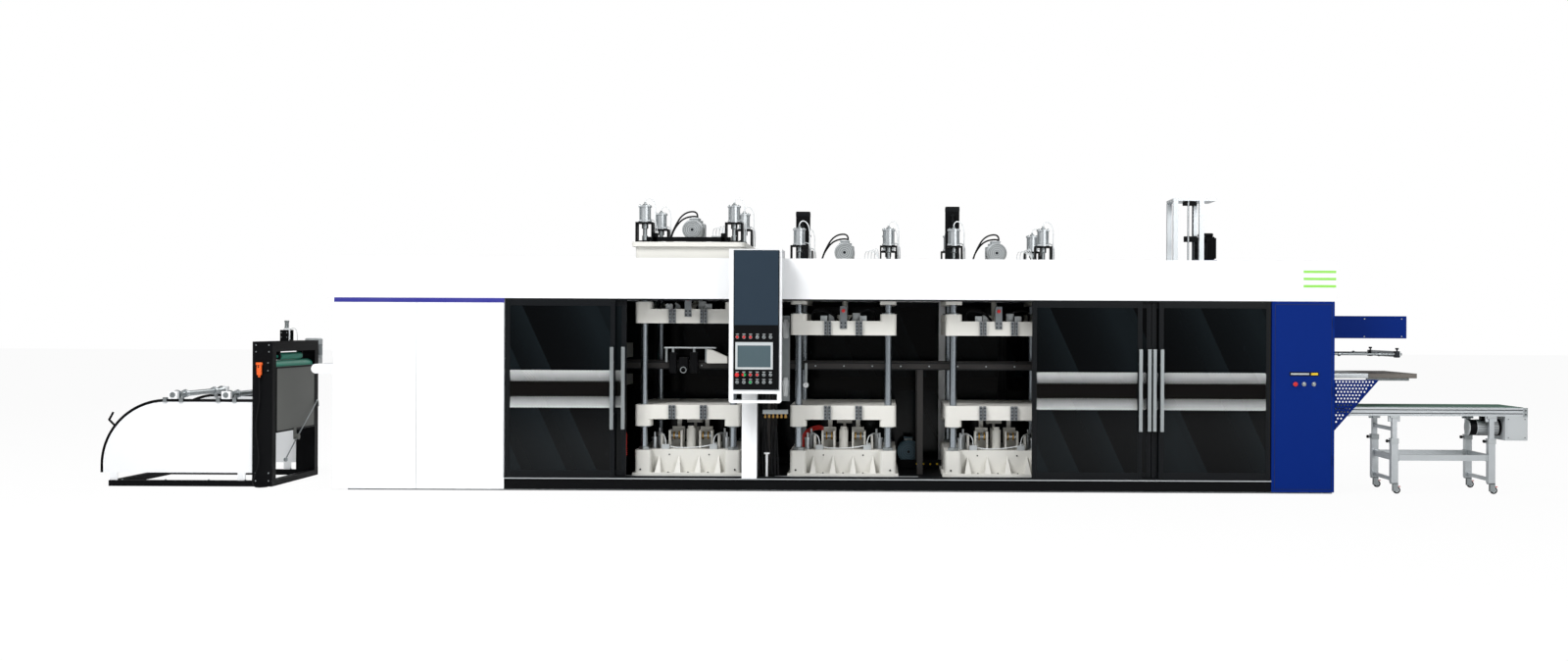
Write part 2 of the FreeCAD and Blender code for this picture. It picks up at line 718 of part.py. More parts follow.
def platen_casting(x, z0, z1, boss0, boss1):
    """Plate with a taller boss round each column and rounded outer corners."""
    half_l, half_d = PLATEN_LENGTH / 2, PLATEN_DEPTH / 2
    plate = box(x - half_l, x + half_l, -half_d, half_d, z0, z1)
    return fuse([rounded_upright(plate, PLATEN_ROUND, z1 - z0)] + corner_blocks(x, boss0, boss1))


def guide_blocks(x, z_middle):
    """Slim guide blocks on the long sides of a platen."""
    blocks = []
    half_d = PLATEN_DEPTH / 2
    for offset in GUIDE_OFFSETS:
        block = box(x + offset - GUIDE_WIDTH / 2, x + offset + GUIDE_WIDTH / 2,
                    -half_d - GUIDE_THICK, -half_d,
                    z_middle - GUIDE_HEIGHT / 2, z_middle + GUIDE_HEIGHT / 2)
        blocks += [block, mirrored_y(block)]
    return blocks


def column_holes(x, z0, z1):
    """Running bores for the four columns."""
    radius = COLUMN_RADIUS + BORE_GAP
    return Part.makeCompound([upright(cx, cy, z0, z1, radius)
                              for cx, cy in corners(x, COLUMN_SPAN_X, COLUMN_SPAN_Y)])


def lower_platen(x):
    """Moving lower platen with boss, balance rod and crank links."""
    bottom = LOWER_TOP - LOWER_THICK
    boss_half = BOSS_SIZE / 2
    boss_bottom = bottom - CORNER_BOSS
    solids = [platen_casting(x, bottom, LOWER_TOP, boss_bottom, LOWER_TOP),
              box(x - boss_half, x + boss_half, -boss_half, boss_half, bottom - BOSS_DROP, bottom),
              upright(x, 0, ROD_BOTTOM, bottom, ROD_OF_BALANCE)]
    link_y = CRANK_Y + CRANK_THICK / 2 + PASS_GAP
    for side in (-1, 1):
        link_x = x + side * CRANK_OFFSET
        solids.append(box(link_x - LINK_WIDTH / 2, link_x + LINK_WIDTH / 2, link_y,
                          link_y + LINK_THICK, LINK_Z, bottom))
    solids += guide_blocks(x, LOWER_TOP - LOWER_THICK / 2)
    return fuse(solids).cut(column_holes(x, boss_bottom - 1, LOWER_TOP + 1))


def upper_platen(x, lift):
    """Moving upper platen with boss and drive screw."""
    bottom = UPPER_BOTTOM + lift
    top = bottom + UPPER_THICK
    boss_half = BOSS_SIZE / 2
    boss_top = top + CORNER_BOSS
    solids = [platen_casting(x, bottom, top, bottom, boss_top),
              box(x - boss_half, x + boss_half, -boss_half, boss_half, top, top + BOSS_RISE),
              upright(x, 0, top, top + BOSS_RISE + SCREW_LENGTH, SCREW_RADIUS)]
    solids += guide_blocks(x, bottom + UPPER_THICK / 2)
    return fuse(solids).cut(column_holes(x, bottom - 1, boss_top + 1))


def press_crown(x, lift, top):
    """Fixed crown with a recess below, a top plate and the running hole of the drive screw."""
    half_l, half_d = PLATEN_LENGTH / 2, PLATEN_DEPTH / 2
    bottom, shoulder = CROWN_BOTTOM + lift, top - CROWN_PLATE_THICK
    body = rounded_upright(box(x - half_l, x + half_l, -half_d, half_d, bottom, shoulder),
                           PLATEN_ROUND, shoulder - bottom)
    recess_half = half_l - 2 * COLUMN_INSET_X
    recess = box(x - recess_half, x + recess_half, -half_d, half_d, bottom,
                 bottom + CROWN_RECESS)
    plate = box(x - half_l - CROWN_LIP, x + half_l + CROWN_LIP, -half_d - CROWN_LIP,
                half_d + CROWN_LIP, shoulder, top)
    plate = rounded_upright(plate, PLATEN_ROUND + CROWN_LIP, CROWN_PLATE_THICK)
    hole = upright(x, 0, bottom - 1, bottom + SCREW_HOLE_DEPTH, SCREW_RADIUS + RUN_GAP)
    return fuse([body.cut(recess), plate]).cut(hole)


def balance_cylinder(x):
    """Barrel that guides the balance rod."""
    barrel = upright(x, 0, BASE_TOP, BALANCE_TOP, BALANCE_RADIUS)
    bore = upright(x, 0, BASE_TOP + BALANCE_WALL, BALANCE_TOP + 1, ROD_OF_BALANCE + RUN_GAP)
    return barrel.cut(bore)


def crank_drive(x, side):
    """Pair of pedestal plates carrying one crank disc."""
    cx = x + side * CRANK_OFFSET
    half_w = PEDESTAL_WIDTH / 2
    front = CRANK_Y - CRANK_THICK / 2
    plate = box(cx - half_w, cx + half_w, front - PEDESTAL_THICK, front, BASE_TOP, PEDESTAL_TOP)
    disc = crosswise(cx, CRANK_Z, front, front + CRANK_THICK, CRANK_RADIUS)
    hub = crosswise(cx, CRANK_Z, front - PEDESTAL_THICK - CRANK_HUB_LENGTH, front, CRANK_RADIUS / 2)
    return fuse([plate, disc, hub])


# Drives on the crowns

def lock_stand(x, y, z):
    """Open black frame that holds one lock cylinder over its column."""
    half_w, half_d = STAND_WIDTH / 2, STAND_DEPTH / 2
    outer = box(x - half_w, x + half_w, y - half_d, y + half_d, z, z + STAND_HEIGHT)
    inner = box(x - half_w + STAND_PLATE, x + half_w - STAND_PLATE, y - half_d, y + half_d,
                z + STAND_PLATE, z + STAND_HEIGHT - STAND_PLATE)
    stem = upright(x, y, z, z + STAND_HEIGHT, COLUMN_RADIUS / 2)
    return fuse([outer.cut(inner), stem])


def lock_cylinder(x, y, z):
    """Aluminium lock cylinder with a cap at each end."""
    return fuse([upright(x, y, z, z + LOCK_HEIGHT, LOCK_RADIUS),
                 upright(x, y, z, z + LOCK_CAP_HEIGHT, LOCK_CAP),
                 upright(x, y, z + LOCK_HEIGHT - LOCK_CAP_HEIGHT, z + LOCK_HEIGHT, LOCK_CAP)])


def lying_motor(x, y0, z_foot, rise, radius, length, foot_width):
    """Motor lying along Y on its foot, with a terminal box on top."""
    z = z_foot + rise
    body = crosswise(x, z, y0, y0 + length, radius)
    foot = box(x - foot_width / 2, x + foot_width / 2, y0 + length / 4, y0 + length * 3 / 4,
               z_foot, z)
    cover = box(x - MOTOR_BOX / 2, x + MOTOR_BOX / 2, y0 + length / 2,
                y0 + length / 2 + MOTOR_BOX, z, z + radius + MOTOR_BOX / 3)
    shaft = crosswise(x, z, y0 + length, y0 + length + MOTOR_BOX, radius / 3)
    return fuse([body, foot, cover, shaft])


def standing_servo(x, y, z, side, height):
    """Square servo standing on its flange."""
    half = SERVO_FLANGE / 2
    flange = box(x - half, x + half, y - half, y + half, z, z + SERVO_FLANGE_THICK)
    body = rounded_upright(box(x - side / 2, x + side / 2, y - side / 2, y + side / 2,
                               z, z + height), side / 8, height)
    return fuse([flange, body])


def finned_motors():
    """Crown adjusting motors and the larger motor on the plinth."""
    motors = [lying_motor(x, MOTOR_FRONT_Y, top, MOTOR_RISE, MOTOR_RADIUS, MOTOR_LENGTH,
                          MOTOR_FOOT_WIDTH) for x, top in zip(STATION_X, CROWN_TOP)]
    motors.append(lying_motor(FLOOR_MOTOR_X, FLOOR_MOTOR_Y, PLINTH_TOP,
                              FLOOR_MOTOR_RADIUS + FLOOR_MOTOR_FOOT, FLOOR_MOTOR_RADIUS,
                              FLOOR_MOTOR_LENGTH, FLOOR_MOTOR_RADIUS))
    return motors


def servo_motors():
    """Black servos of two crowns and of the lift frame."""
    servos = [standing_servo(x + SERVO_OFFSET, 0, top, SERVO_SIDE, height)
              for x, top, height in zip(STATION_X, CROWN_TOP, SERVO_HEIGHT) if height > 0]
    servos.append(standing_servo(LIFT_SERVO_X, LIFT_SERVO_Y, HEADER_TOP, LIFT_SERVO_SIDE,
                                 LIFT_SERVO_HEIGHT))
    return servos


# Chain rails

def chain_rail():
    """Front chain rail."""
    y0, y1 = -CHAIN_RAIL_Y - CHAIN_RAIL_THICK / 2, -CHAIN_RAIL_Y + CHAIN_RAIL_THICK / 2
    return box(CHAIN_RAIL_LEFT, CHAIN_RAIL_RIGHT, y0, y1, CHAIN_RAIL_BOTTOM,
               CHAIN_RAIL_BOTTOM + CHAIN_RAIL_HEIGHT)


def rail_posts():
    """Posts under both chain rails, clear of the presses."""
    posts = []
    for x in RAIL_POST_X:
        foot = PLINTH_TOP if x > BAY_LEFT else FOOT_HEIGHT
        post = box(x - RAIL_POST / 2, x + RAIL_POST / 2, -CHAIN_RAIL_Y - RAIL_POST / 2,
                   -CHAIN_RAIL_Y + RAIL_POST / 2, foot, CHAIN_RAIL_BOTTOM - SEAT_GAP)
        posts += [post, mirrored_y(post)]
    return posts


# Operator pendant

def pendant_arm():
    """White frame with the grip slot, and its hood back over the header."""
    x0, x1 = PENDANT_LEFT, PENDANT_LEFT + PENDANT_WIDTH
    front = box(x0, x1, PENDANT_FRONT, PENDANT_FRONT + PENDANT_DEPTH, PENDANT_BOTTOM, PENDANT_TOP)
    hood = box(x0, x1, PENDANT_FRONT, HOOD_BACK, HEADER_TOP, PENDANT_TOP)
    grip = box(x0 + GRIP_MARGIN, x1 - GRIP_MARGIN, PENDANT_FRONT - 1,
               PENDANT_FRONT + PENDANT_DEPTH + 1, GRIP_BOTTOM, GRIP_BOTTOM + GRIP_HEIGHT)
    shape = fuse([front, hood])
    bottom_edges = [e for e in shape.Edges
                    if e.BoundBox.ZMax < PENDANT_BOTTOM + 1 and e.BoundBox.YLength > PENDANT_DEPTH / 2]
    return shape.makeFillet(PENDANT_ROUND, bottom_edges).cut(grip)


def pendant_panel():
    """Dark face of the pendant."""
    return box(PENDANT_LEFT + FACE_MARGIN, PENDANT_LEFT + PENDANT_WIDTH - FACE_MARGIN / 2,
               PENDANT_FRONT - FACE_THICK, PENDANT_FRONT, FACE_BOTTOM, FACE_TOP)


def push_button(x, face_y, z, radius, length):
    """Round button standing out of a vertical face."""
    return crosswise(x, z, face_y - length, face_y, radius)


def control_pieces():
    """Screen and buttons of the pendant, display and buttons of the exit cabinet."""
    face = PENDANT_FRONT - FACE_THICK
    pieces = [box(SCREEN_LEFT, SCREEN_LEFT + SCREEN_WIDTH, face - SCREEN_THICK, face,
                  SCREEN_BOTTOM, SCREEN_BOTTOM + SCREEN_HEIGHT)]
    for row, z in enumerate(BUTTON_ROW_Z):
        for column, x in enumerate(BUTTON_X):
            is_stop = row == 1 and column == 0
            radius = MUSHROOM_RADIUS if is_stop else BUTTON_RADIUS
            length = MUSHROOM_LENGTH if is_stop else BUTTON_LENGTH
            pieces.append(push_button(x, face, z, radius, length))
    pieces.append(box(DISPLAY_LEFT, DISPLAY_LEFT + DISPLAY_WIDTH, FRONT - DISPLAY_THICK, FRONT,
                      DISPLAY_BOTTOM, DISPLAY_BOTTOM + DISPLAY_HEIGHT))
    pieces += [push_button(x, FRONT, CABINET_BUTTON_Z, BUTTON_RADIUS, BUTTON_LENGTH)
               for x in CABINET_BUTTON_X]
    return pieces


# Lift frame

def lift_frame():
    """Four posts and a guide rod under one top plate."""
    solids = [box(LIFT_X[0] - LIFT_POST / 2, LIFT_PLATE_RIGHT, LIFT_Y[0] - LIFT_POST / 2,
                  LIFT_Y[1] + LIFT_POST / 2, LIFT_TOP - LIFT_PLATE_THICK, LIFT_TOP)]
    for x in LIFT_X:
        for y in LIFT_Y:
            solids.append(box(x - LIFT_POST / 2, x + LIFT_POST / 2, y - LIFT_POST / 2,
                              y + LIFT_POST / 2, HEADER_TOP, LIFT_TOP))
    solids.append(upright(LIFT_ROD_X, LIFT_Y[0], HEADER_TOP, LIFT_TOP, LIFT_ROD_RADIUS))
    return fuse(solids)


# Outfeed conveyor

def conveyor_bed():
    """Side profiles, slider plate and end rollers."""
    y0, y1 = CONVEYOR_FRONT, CONVEYOR_FRONT + CONVEYOR_WIDTH
    z0, z1 = CONVEYOR_TOP - CONVEYOR_SIDE_HEIGHT, CONVEYOR_TOP - BELT_RISE
    inner0, inner1 = y0 + CONVEYOR_SIDE_THICK, y1 - CONVEYOR_SIDE_THICK
    sides = [box(CONVEYOR_LEFT, CONVEYOR_RIGHT, y0, inner0, z0, z1),
             box(CONVEYOR_LEFT, CONVEYOR_RIGHT, inner1, y1, z0, z1)]
    reach = ROLLER_INSET + ROLLER_RADIUS + PASS_GAP
    top = CONVEYOR_TOP - BELT_THICK - SEAT_GAP
    bed = box(CONVEYOR_LEFT + reach, CONVEYOR_RIGHT - reach, inner0 + SEAT_GAP,
              inner1 - SEAT_GAP, top - BED_THICK, top)
    rollers = [crosswise(x, CONVEYOR_TOP - BELT_THICK - SEAT_GAP - ROLLER_RADIUS,
                         inner0 + SEAT_GAP, inner1 - SEAT_GAP, ROLLER_RADIUS)
               for x in (CONVEYOR_LEFT + ROLLER_INSET, CONVEYOR_RIGHT - ROLLER_INSET)]
    return sides + [bed] + rollers


def race_track(radius, y0, y1):
    """Round-ended loop body about both end rollers."""
    z = CONVEYOR_TOP - BELT_THICK - SEAT_GAP - ROLLER_RADIUS
    x0, x1 = CONVEYOR_LEFT + ROLLER_INSET, CONVEYOR_RIGHT - ROLLER_INSET
    return fuse([crosswise(x0, z, y0, y1, radius), crosswise(x1, z, y0, y1, radius),
                 box(x0, x1, y0, y1, z - radius, z + radius)])


def conveyor_belt():
    """Closed belt around the slider plate and rollers."""
    y0 = CONVEYOR_FRONT + CONVEYOR_SIDE_THICK + BELT_SIDE_GAP
    y1 = CONVEYOR_FRONT + CONVEYOR_WIDTH - CONVEYOR_SIDE_THICK - BELT_SIDE_GAP
    inner = ROLLER_RADIUS + SEAT_GAP
    return race_track(inner + BELT_THICK, y0, y1).cut(race_track(inner, y0 - 1, y1 + 1))


def leg_rows():
    """The two Y places of the conveyor's legs."""
    half = LEG_SIDE / 2
    return (CONVEYOR_FRONT + half, CONVEYOR_FRONT + CONVEYOR_WIDTH - half)


def conveyor_legs():
    """Telescopic legs with stretchers between them, as separate members."""
    members = []
    half, sleeve = LEG_SIDE / 2, SLEEVE_SIDE / 2
    for x in LEG_X:
        for y in leg_rows():
            tube = box(x - half, x + half, y - half, y + half, SLEEVE_TOP,
                       CONVEYOR_TOP - CONVEYOR_SIDE_HEIGHT)
            outer = box(x - sleeve, x + sleeve, y - sleeve, y + sleeve, SLEEVE_BOTTOM, SLEEVE_TOP)
            members.append(fuse([tube, outer]))
    for y in leg_rows():
        members.append(box(LEG_X[0] + sleeve + SEAT_GAP, LEG_X[1] - sleeve - SEAT_GAP,
                           y - STRETCHER_THICK / 2, y + STRETCHER_THICK / 2,
                           STRETCHER_BOTTOM, STRETCHER_BOTTOM + STRETCHER_HEIGHT))
    for x in LEG_X:
        members.append(box(x - STRETCHER_THICK / 2, x + STRETCHER_THICK / 2,
                           leg_rows()[0] + sleeve + SEAT_GAP, leg_rows()[1] - sleeve - SEAT_GAP,
                           STRETCHER_BOTTOM, STRETCHER_BOTTOM + STRETCHER_HEIGHT))
    return members


def castor_places():
    """Wheel centres under the four legs."""
    return [(x + CASTOR_TRAIL, y) for x in LEG_X for y in leg_rows()]


def castor_fork(x, y):
    """Two cheeks and a top plate that hold one castor wheel's axle."""
    half = CASTOR_WIDTH / 2 + SEAT_GAP
    outer = half + FORK_THICK
    top = SLEEVE_BOTTOM
    cheeks = [box(x - CASTOR_TRAIL - AXLE_RADIUS * 2, x + AXLE_RADIUS * 2, low, low + FORK_THICK,
                  CASTOR_RADIUS - AXLE_RADIUS * 2, top) for low in (y - outer, y + half)]
    plate = box(x - CASTOR_TRAIL - SLEEVE_SIDE / 2, x + AXLE_RADIUS * 2, y - outer, y + outer,
                top - FORK_TOP_THICK, top)
    axle = crosswise(x, CASTOR_RADIUS, y - outer, y + outer, AXLE_RADIUS)
    return fuse(cheeks + [plate, axle])


def castor_wheel(x, y):
    """Castor wheel with the bore of its axle."""
    half = CASTOR_WIDTH / 2
    wheel = crosswise(x, CASTOR_RADIUS, y - half, y + half, CASTOR_RADIUS)
    return wheel.cut(crosswise(x, CASTOR_RADIUS, y - half - 1, y + half + 1,
                               AXLE_RADIUS + SEAT_GAP))


def conveyor_drive():
    """Drive cover and motor under the belt's far end."""
    y0 = CONVEYOR_FRONT
    top = CONVEYOR_TOP - CONVEYOR_SIDE_HEIGHT
    cover = box(DRIVE_BOX_LEFT, CONVEYOR_RIGHT, y0, y0 + CONVEYOR_WIDTH / 2,
                DRIVE_BOX_BOTTOM, top)
    motor_y = y0 + CONVEYOR_WIDTH / 4
    motor_z = top - DRIVE_BOX_HEIGHT / 2
    motor = rod((DRIVE_MOTOR_LEFT, motor_y, motor_z), (1, 0, 0), DRIVE_MOTOR_RADIUS,
                DRIVE_BOX_LEFT - DRIVE_MOTOR_LEFT)
    return fuse([cover, motor])


# Film unwinder

def unwinder_post():
    """Front box post of the gantry with the bearing hole of the lower nip roller."""
    post = box(GANTRY_LEFT, GANTRY_RIGHT, -UNWIND_HALF_WIDTH, -UNWIND_HALF_WIDTH + POST_THICK,
               0, GANTRY_TOP)
    hole = crosswise(NIP_X, NIP_LOWER_Z, -UNWIND_HALF_WIDTH - 1,
                     -UNWIND_HALF_WIDTH + POST_THICK + 1, NIP_SHAFT_RADIUS + RUN_GAP)
    return post.cut(hole)


def unwinder_frame():
    """Top beam, sill and long base rails, as separate members."""
    inner = UNWIND_HALF_WIDTH - POST_THICK
    beam = box(GANTRY_LEFT, GANTRY_RIGHT, -inner, inner, GANTRY_TOP - BEAM_HEIGHT, GANTRY_TOP)
    sill = box(GANTRY_RIGHT - CROSS_SILL_WIDTH, GANTRY_RIGHT, -inner, inner, 0, SILL_HEIGHT)
    rail = box(RAIL_LEFT, GANTRY_LEFT, -UNWIND_HALF_WIDTH,
               -UNWIND_HALF_WIDTH + SIDE_RAIL_THICK, 0, SIDE_RAIL_HEIGHT)
    cross = box(RAIL_LEFT, RAIL_LEFT + CROSS_SILL_WIDTH,
                -UNWIND_HALF_WIDTH + SIDE_RAIL_THICK + SEAT_GAP,
                UNWIND_HALF_WIDTH - SIDE_RAIL_THICK - SEAT_GAP, 0, SILL_HEIGHT)
    return [beam, sill, rail, mirrored_y(rail), cross]


def apron():
    """Grey panel between the gantry posts."""
    inner = UNWIND_HALF_WIDTH - POST_THICK
    return box(GANTRY_RIGHT - APRON_THICK, GANTRY_RIGHT, -inner, inner, APRON_BOTTOM, APRON_TOP)


def side_tube():
    """Front tube, up from the floor rail and round to the gantry, with its rest hook."""
    y = -UNWIND_HALF_WIDTH + SIDE_RAIL_THICK / 2
    bend_z = TUBE_TOP - TUBE_RADIUS - TUBE_BEND
    bend_x = TUBE_LEFT + TUBE_RADIUS + TUBE_BEND
    points = [FreeCAD.Vector(TUBE_LEFT + TUBE_RADIUS, y, TUBE_FOOT),
              FreeCAD.Vector(TUBE_LEFT + TUBE_RADIUS, y, bend_z),
              FreeCAD.Vector(bend_x - TUBE_BEND * math.cos(math.pi / 4), y,
                             bend_z + TUBE_BEND * math.sin(math.pi / 4)),
              FreeCAD.Vector(bend_x, y, TUBE_TOP - TUBE_RADIUS),
              FreeCAD.Vector(GANTRY_LEFT, y, TUBE_TOP - TUBE_RADIUS)]
    path = Part.Wire([Part.LineSegment(points[0], points[1]).toShape(),
                      Part.Arc(points[1], points[2], points[3]).toShape(),
                      Part.LineSegment(points[3], points[4]).toShape()])
    circle = Part.Wire([Part.makeCircle(TUBE_RADIUS, points[0], FreeCAD.Vector(0, 0, 1))])
    tube = path.makePipeShell([circle], True, False)
    angle = math.radians(HOOK_ANGLE)
    root = (bend_x + TUBE_BEND * math.cos(angle), y, bend_z + TUBE_BEND * math.sin(angle))
    knee = (root[0] - HOOK_REACH, y, root[2] + HOOK_REACH)
    hook = [rod(root, (-1, 0, 1), TUBE_RADIUS * 0.8, HOOK_REACH * math.sqrt(2)),
            rod(knee, (0.5, 0, 1), TUBE_RADIUS * 0.8, HOOK_RISE)]
    return fuse([tube] + hook)


def side_panel():
    """White sheet that fills the front side frame, on its two short feet."""
    y = -UNWIND_HALF_WIDTH + SIDE_RAIL_THICK / 2
    bend_z = TUBE_TOP - TUBE_RADIUS - TUBE_BEND
    bend_x = TUBE_LEFT + TUBE_RADIUS + TUBE_BEND
    radius = TUBE_BEND - TUBE_RADIUS - SEAT_GAP
    top = bend_z + radius
    middle = math.sqrt(0.5) * radius
    p = [FreeCAD.Vector(bend_x - radius, y - SIDE_SHEET / 2, TUBE_FOOT),
         FreeCAD.Vector(bend_x - radius, y - SIDE_SHEET / 2, bend_z),
         FreeCAD.Vector(bend_x - middle, y - SIDE_SHEET / 2, bend_z + middle),
         FreeCAD.Vector(bend_x, y - SIDE_SHEET / 2, top),
         FreeCAD.Vector(GANTRY_LEFT, y - SIDE_SHEET / 2, top),
         FreeCAD.Vector(GANTRY_LEFT, y - SIDE_SHEET / 2, TUBE_FOOT)]
    outline = Part.Wire([Part.LineSegment(p[0], p[1]).toShape(),
                         Part.Arc(p[1], p[2], p[3]).toShape(),
                         Part.LineSegment(p[3], p[4]).toShape(),
                         Part.LineSegment(p[4], p[5]).toShape(),
                         Part.LineSegment(p[5], p[0]).toShape()])
    sheet = Part.Face(outline).extrude(FreeCAD.Vector(0, SIDE_SHEET, 0))
    feet = [box(x, x + SIDE_FOOT, y - SIDE_SHEET / 2, y + SIDE_SHEET / 2, SIDE_RAIL_HEIGHT,
                TUBE_FOOT) for x in (RAIL_LEFT, GANTRY_LEFT - 2 * SIDE_FOOT)]
    return fuse([sheet] + feet)


def shaft_height():
    """Axis height of the roll shafts above the side tubes."""
    return TUBE_TOP + SHAFT_RISE


def roll_shaft(x):
    """Roll shaft with a tapered chuck at each end."""
    z = shaft_height()
    end = UNWIND_HALF_WIDTH
    solids = [crosswise(x, z, -end, end, SHAFT_RADIUS)]
    start = end - CHUCK_INSET - BLOCK_THICK
    for sign in (-1, 1):
        cone = Part.makeCone(CHUCK_RADIUS, SHAFT_RADIUS, CHUCK_LENGTH,
                             FreeCAD.Vector(x, sign * start, z), FreeCAD.Vector(0, -sign, 0))
        solids.append(cone)
    return fuse(solids)


def shaft_blocks():
    """White bearing blocks on the side tubes, one under each shaft end."""
    blocks = []
    z0, z1 = TUBE_TOP + SEAT_GAP, shaft_height() + SHAFT_RADIUS + SIDE_SHEET
    y = -UNWIND_HALF_WIDTH + SIDE_RAIL_THICK / 2
    for x in SHAFT_X:
        block = box(x - BLOCK_LENGTH / 2, x + BLOCK_LENGTH / 2, y - BLOCK_THICK / 2,
                    y + BLOCK_THICK / 2, z0, z1)
        block = block.cut(crosswise(x, shaft_height(), y - BLOCK_THICK, y + BLOCK_THICK,
                                    SHAFT_RADIUS + RUN_GAP))
        blocks += [block, mirrored_y(block)]
    return blocks


def upper_nip_z():
    """Axis height of the upper nip roller at its working place."""
    return NIP_LOWER_Z + NIP_LOWER_RADIUS + NIP_GAP + NIP_UPPER_RADIUS


def nip_roller(z, radius, half, shaft_end_front, shaft_end_rear):
    """Rubber roller with its shaft."""
    return fuse([crosswise(NIP_X, z, -half, half, radius),
                 crosswise(NIP_X, z, -shaft_end_front, shaft_end_rear, NIP_SHAFT_RADIUS)])


def nip_arms():
    """Two arms that hang the upper nip roller from the top beam."""
    z = upper_nip_z()
    y0 = NIP_UPPER_HALF + PASS_GAP
    arm = box(NIP_X - NIP_ARM_WIDTH / 2, NIP_X + NIP_ARM_WIDTH / 2, y0, y0 + NIP_ARM_THICK,
              z - NIP_SHAFT_RADIUS * 2, GANTRY_TOP - BEAM_HEIGHT)
    arm = arm.cut(crosswise(NIP_X, z, y0 - 1, y0 + NIP_ARM_THICK + 1, NIP_SHAFT_RADIUS + RUN_GAP))
    return [arm, mirrored_y(arm)]


def lift_unit():
    """Two plates with an air cylinder between them on top of the beam."""
    x = (GANTRY_LEFT + GANTRY_RIGHT) / 2
    half = LIFT_UNIT_SPREAD / 2
    solids = [box(x - LIFT_UNIT_DEPTH / 2, x + LIFT_UNIT_DEPTH / 2, -half, half, GANTRY_TOP,
                  GANTRY_TOP + LIFT_UNIT_PLATE)]
    for y in (-half, half - LIFT_UNIT_PLATE):
        solids.append(box(x - LIFT_UNIT_DEPTH / 2, x + LIFT_UNIT_DEPTH / 2, y,
                          y + LIFT_UNIT_PLATE, GANTRY_TOP, GANTRY_TOP + LIFT_UNIT_HEIGHT))
    top = GANTRY_TOP + LIFT_CYLINDER_HEIGHT
    solids.append(upright(x, 0, GANTRY_TOP, top, LIFT_CYLINDER_RADIUS))
    solids.append(upright(x, 0, top, top + LIFT_FITTING_HEIGHT, LIFT_FITTING_RADIUS))
    return fuse(solids)


def gearmotor():
    """Gearbox on the rear post with its motor standing on it."""
    y0 = UNWIND_HALF_WIDTH
    half = GEARBOX_SIDE / 2
    z0 = NIP_LOWER_Z - GEARBOX_HEIGHT / 2
    gearbox = box(NIP_X - half, NIP_X + half, y0, y0 + GEARBOX_SIDE, z0, z0 + GEARBOX_HEIGHT)
    motor = upright(NIP_X, y0 + half + NIP_SHAFT_RADIUS, z0 + GEARBOX_HEIGHT,
                    z0 + GEARBOX_HEIGHT + GEAR_MOTOR_HEIGHT, GEAR_MOTOR_RADIUS)
    bore = crosswise(NIP_X, NIP_LOWER_Z, y0 - 1, y0 + half, NIP_SHAFT_RADIUS + RUN_GAP)
    return fuse([gearbox, motor]).cut(bore)


def hand_switch():
    """Orange hand switch on the front post with its cord gland."""
    y = -UNWIND_HALF_WIDTH - SWITCH_CAP_RADIUS
    top = SWITCH_BOTTOM + SWITCH_HEIGHT
    body = upright(SWITCH_X, y, SWITCH_BOTTOM, top, SWITCH_RADIUS)
    cap = upright(SWITCH_X, y, top - SWITCH_RADIUS, top, SWITCH_CAP_RADIUS)
    gland = upright(SWITCH_X, y, SWITCH_BOTTOM - GLAND_LENGTH, SWITCH_BOTTOM, GLAND_RADIUS)
    clip = box(SWITCH_X - GLAND_RADIUS, SWITCH_X + GLAND_RADIUS, y, -UNWIND_HALF_WIDTH,
               top - SWITCH_RADIUS, top - GLAND_RADIUS)
    return fuse([body, cap, gland, clip])


def cord_path(points):
    """Straight runs joined by tangent arcs, and the arc radii."""
    nodes = [FreeCAD.Vector(*p) for p in points]
    edges, radii = [], []
    start = nodes[0]
    for before, here, after in zip(nodes, nodes[1:], nodes[2:]):
        into, out = (here - before), (after - here)
        turn = into.getAngle(out)
        reach = 0.45 * min(into.Length, out.Length)
        radii.append(reach / math.tan(turn / 2))
        u, v = FreeCAD.Vector(into).normalize(), FreeCAD.Vector(out).normalize()
        a, b = here - u * reach, here + v * reach
        bisector = (v - u).normalize()
        centre = here + bisector * (radii[-1] / math.cos(turn / 2))
        middle = centre - bisector * radii[-1]
        edges += [Part.LineSegment(start, a).toShape(), Part.Arc(a, middle, b).toShape()]
        start = b
    edges.append(Part.LineSegment(start, nodes[-1]).toShape())
    return Part.Wire(edges), radii


def cord_tube():
    """Cord from the hand switch down the post to the floor."""
    path, radii = cord_path(CORD_POINTS)
    first = FreeCAD.Vector(*CORD_POINTS[0])
    heading = FreeCAD.Vector(*CORD_POINTS[1]) - first
    circle = Part.Wire([Part.makeCircle(CORD_RADIUS, first, heading)])
    tube = path.makePipeShell([circle], True, False)
    expected = math.pi * CORD_RADIUS ** 2 * path.Length
    print("cord length", round(path.Length, 1), "volume ratio", round(tube.Volume / expected, 4))
    print("cord radii", [round(r, 1) for r in radii])
    return tube


def save_body():
    """Body, oven, header and exit end."""
    save("base_plate", [base_plate()])
    save("plinth", [plinth()])
    beam = header_beam()
    save("header_beams", [beam, mirrored_y(beam)])
    save("header_deck", header_deck())
    panels = oven_panels()
    save("oven_panels", panels + [mirrored_y(p) for p in panels])
    save("end_walls", infeed_wall() + exit_wall())
    save("infeed_table", [infeed_table()])
    save("heater_boxes", heater_boxes())
    cabinet = exit_cabinet()
    save("exit_cabinets", [cabinet, mirrored_y(cabinet)])
    save("exit_table", exit_table())
    save("exit_stacker", [exit_hood(), guide_rods()])
    save("corner_guard", [corner_guard()])
    save("body_posts", body_posts())
    frames, panes = rear_wall()
    save("rear_wall_frames", frames)
    save("rear_wall_glass", panes)


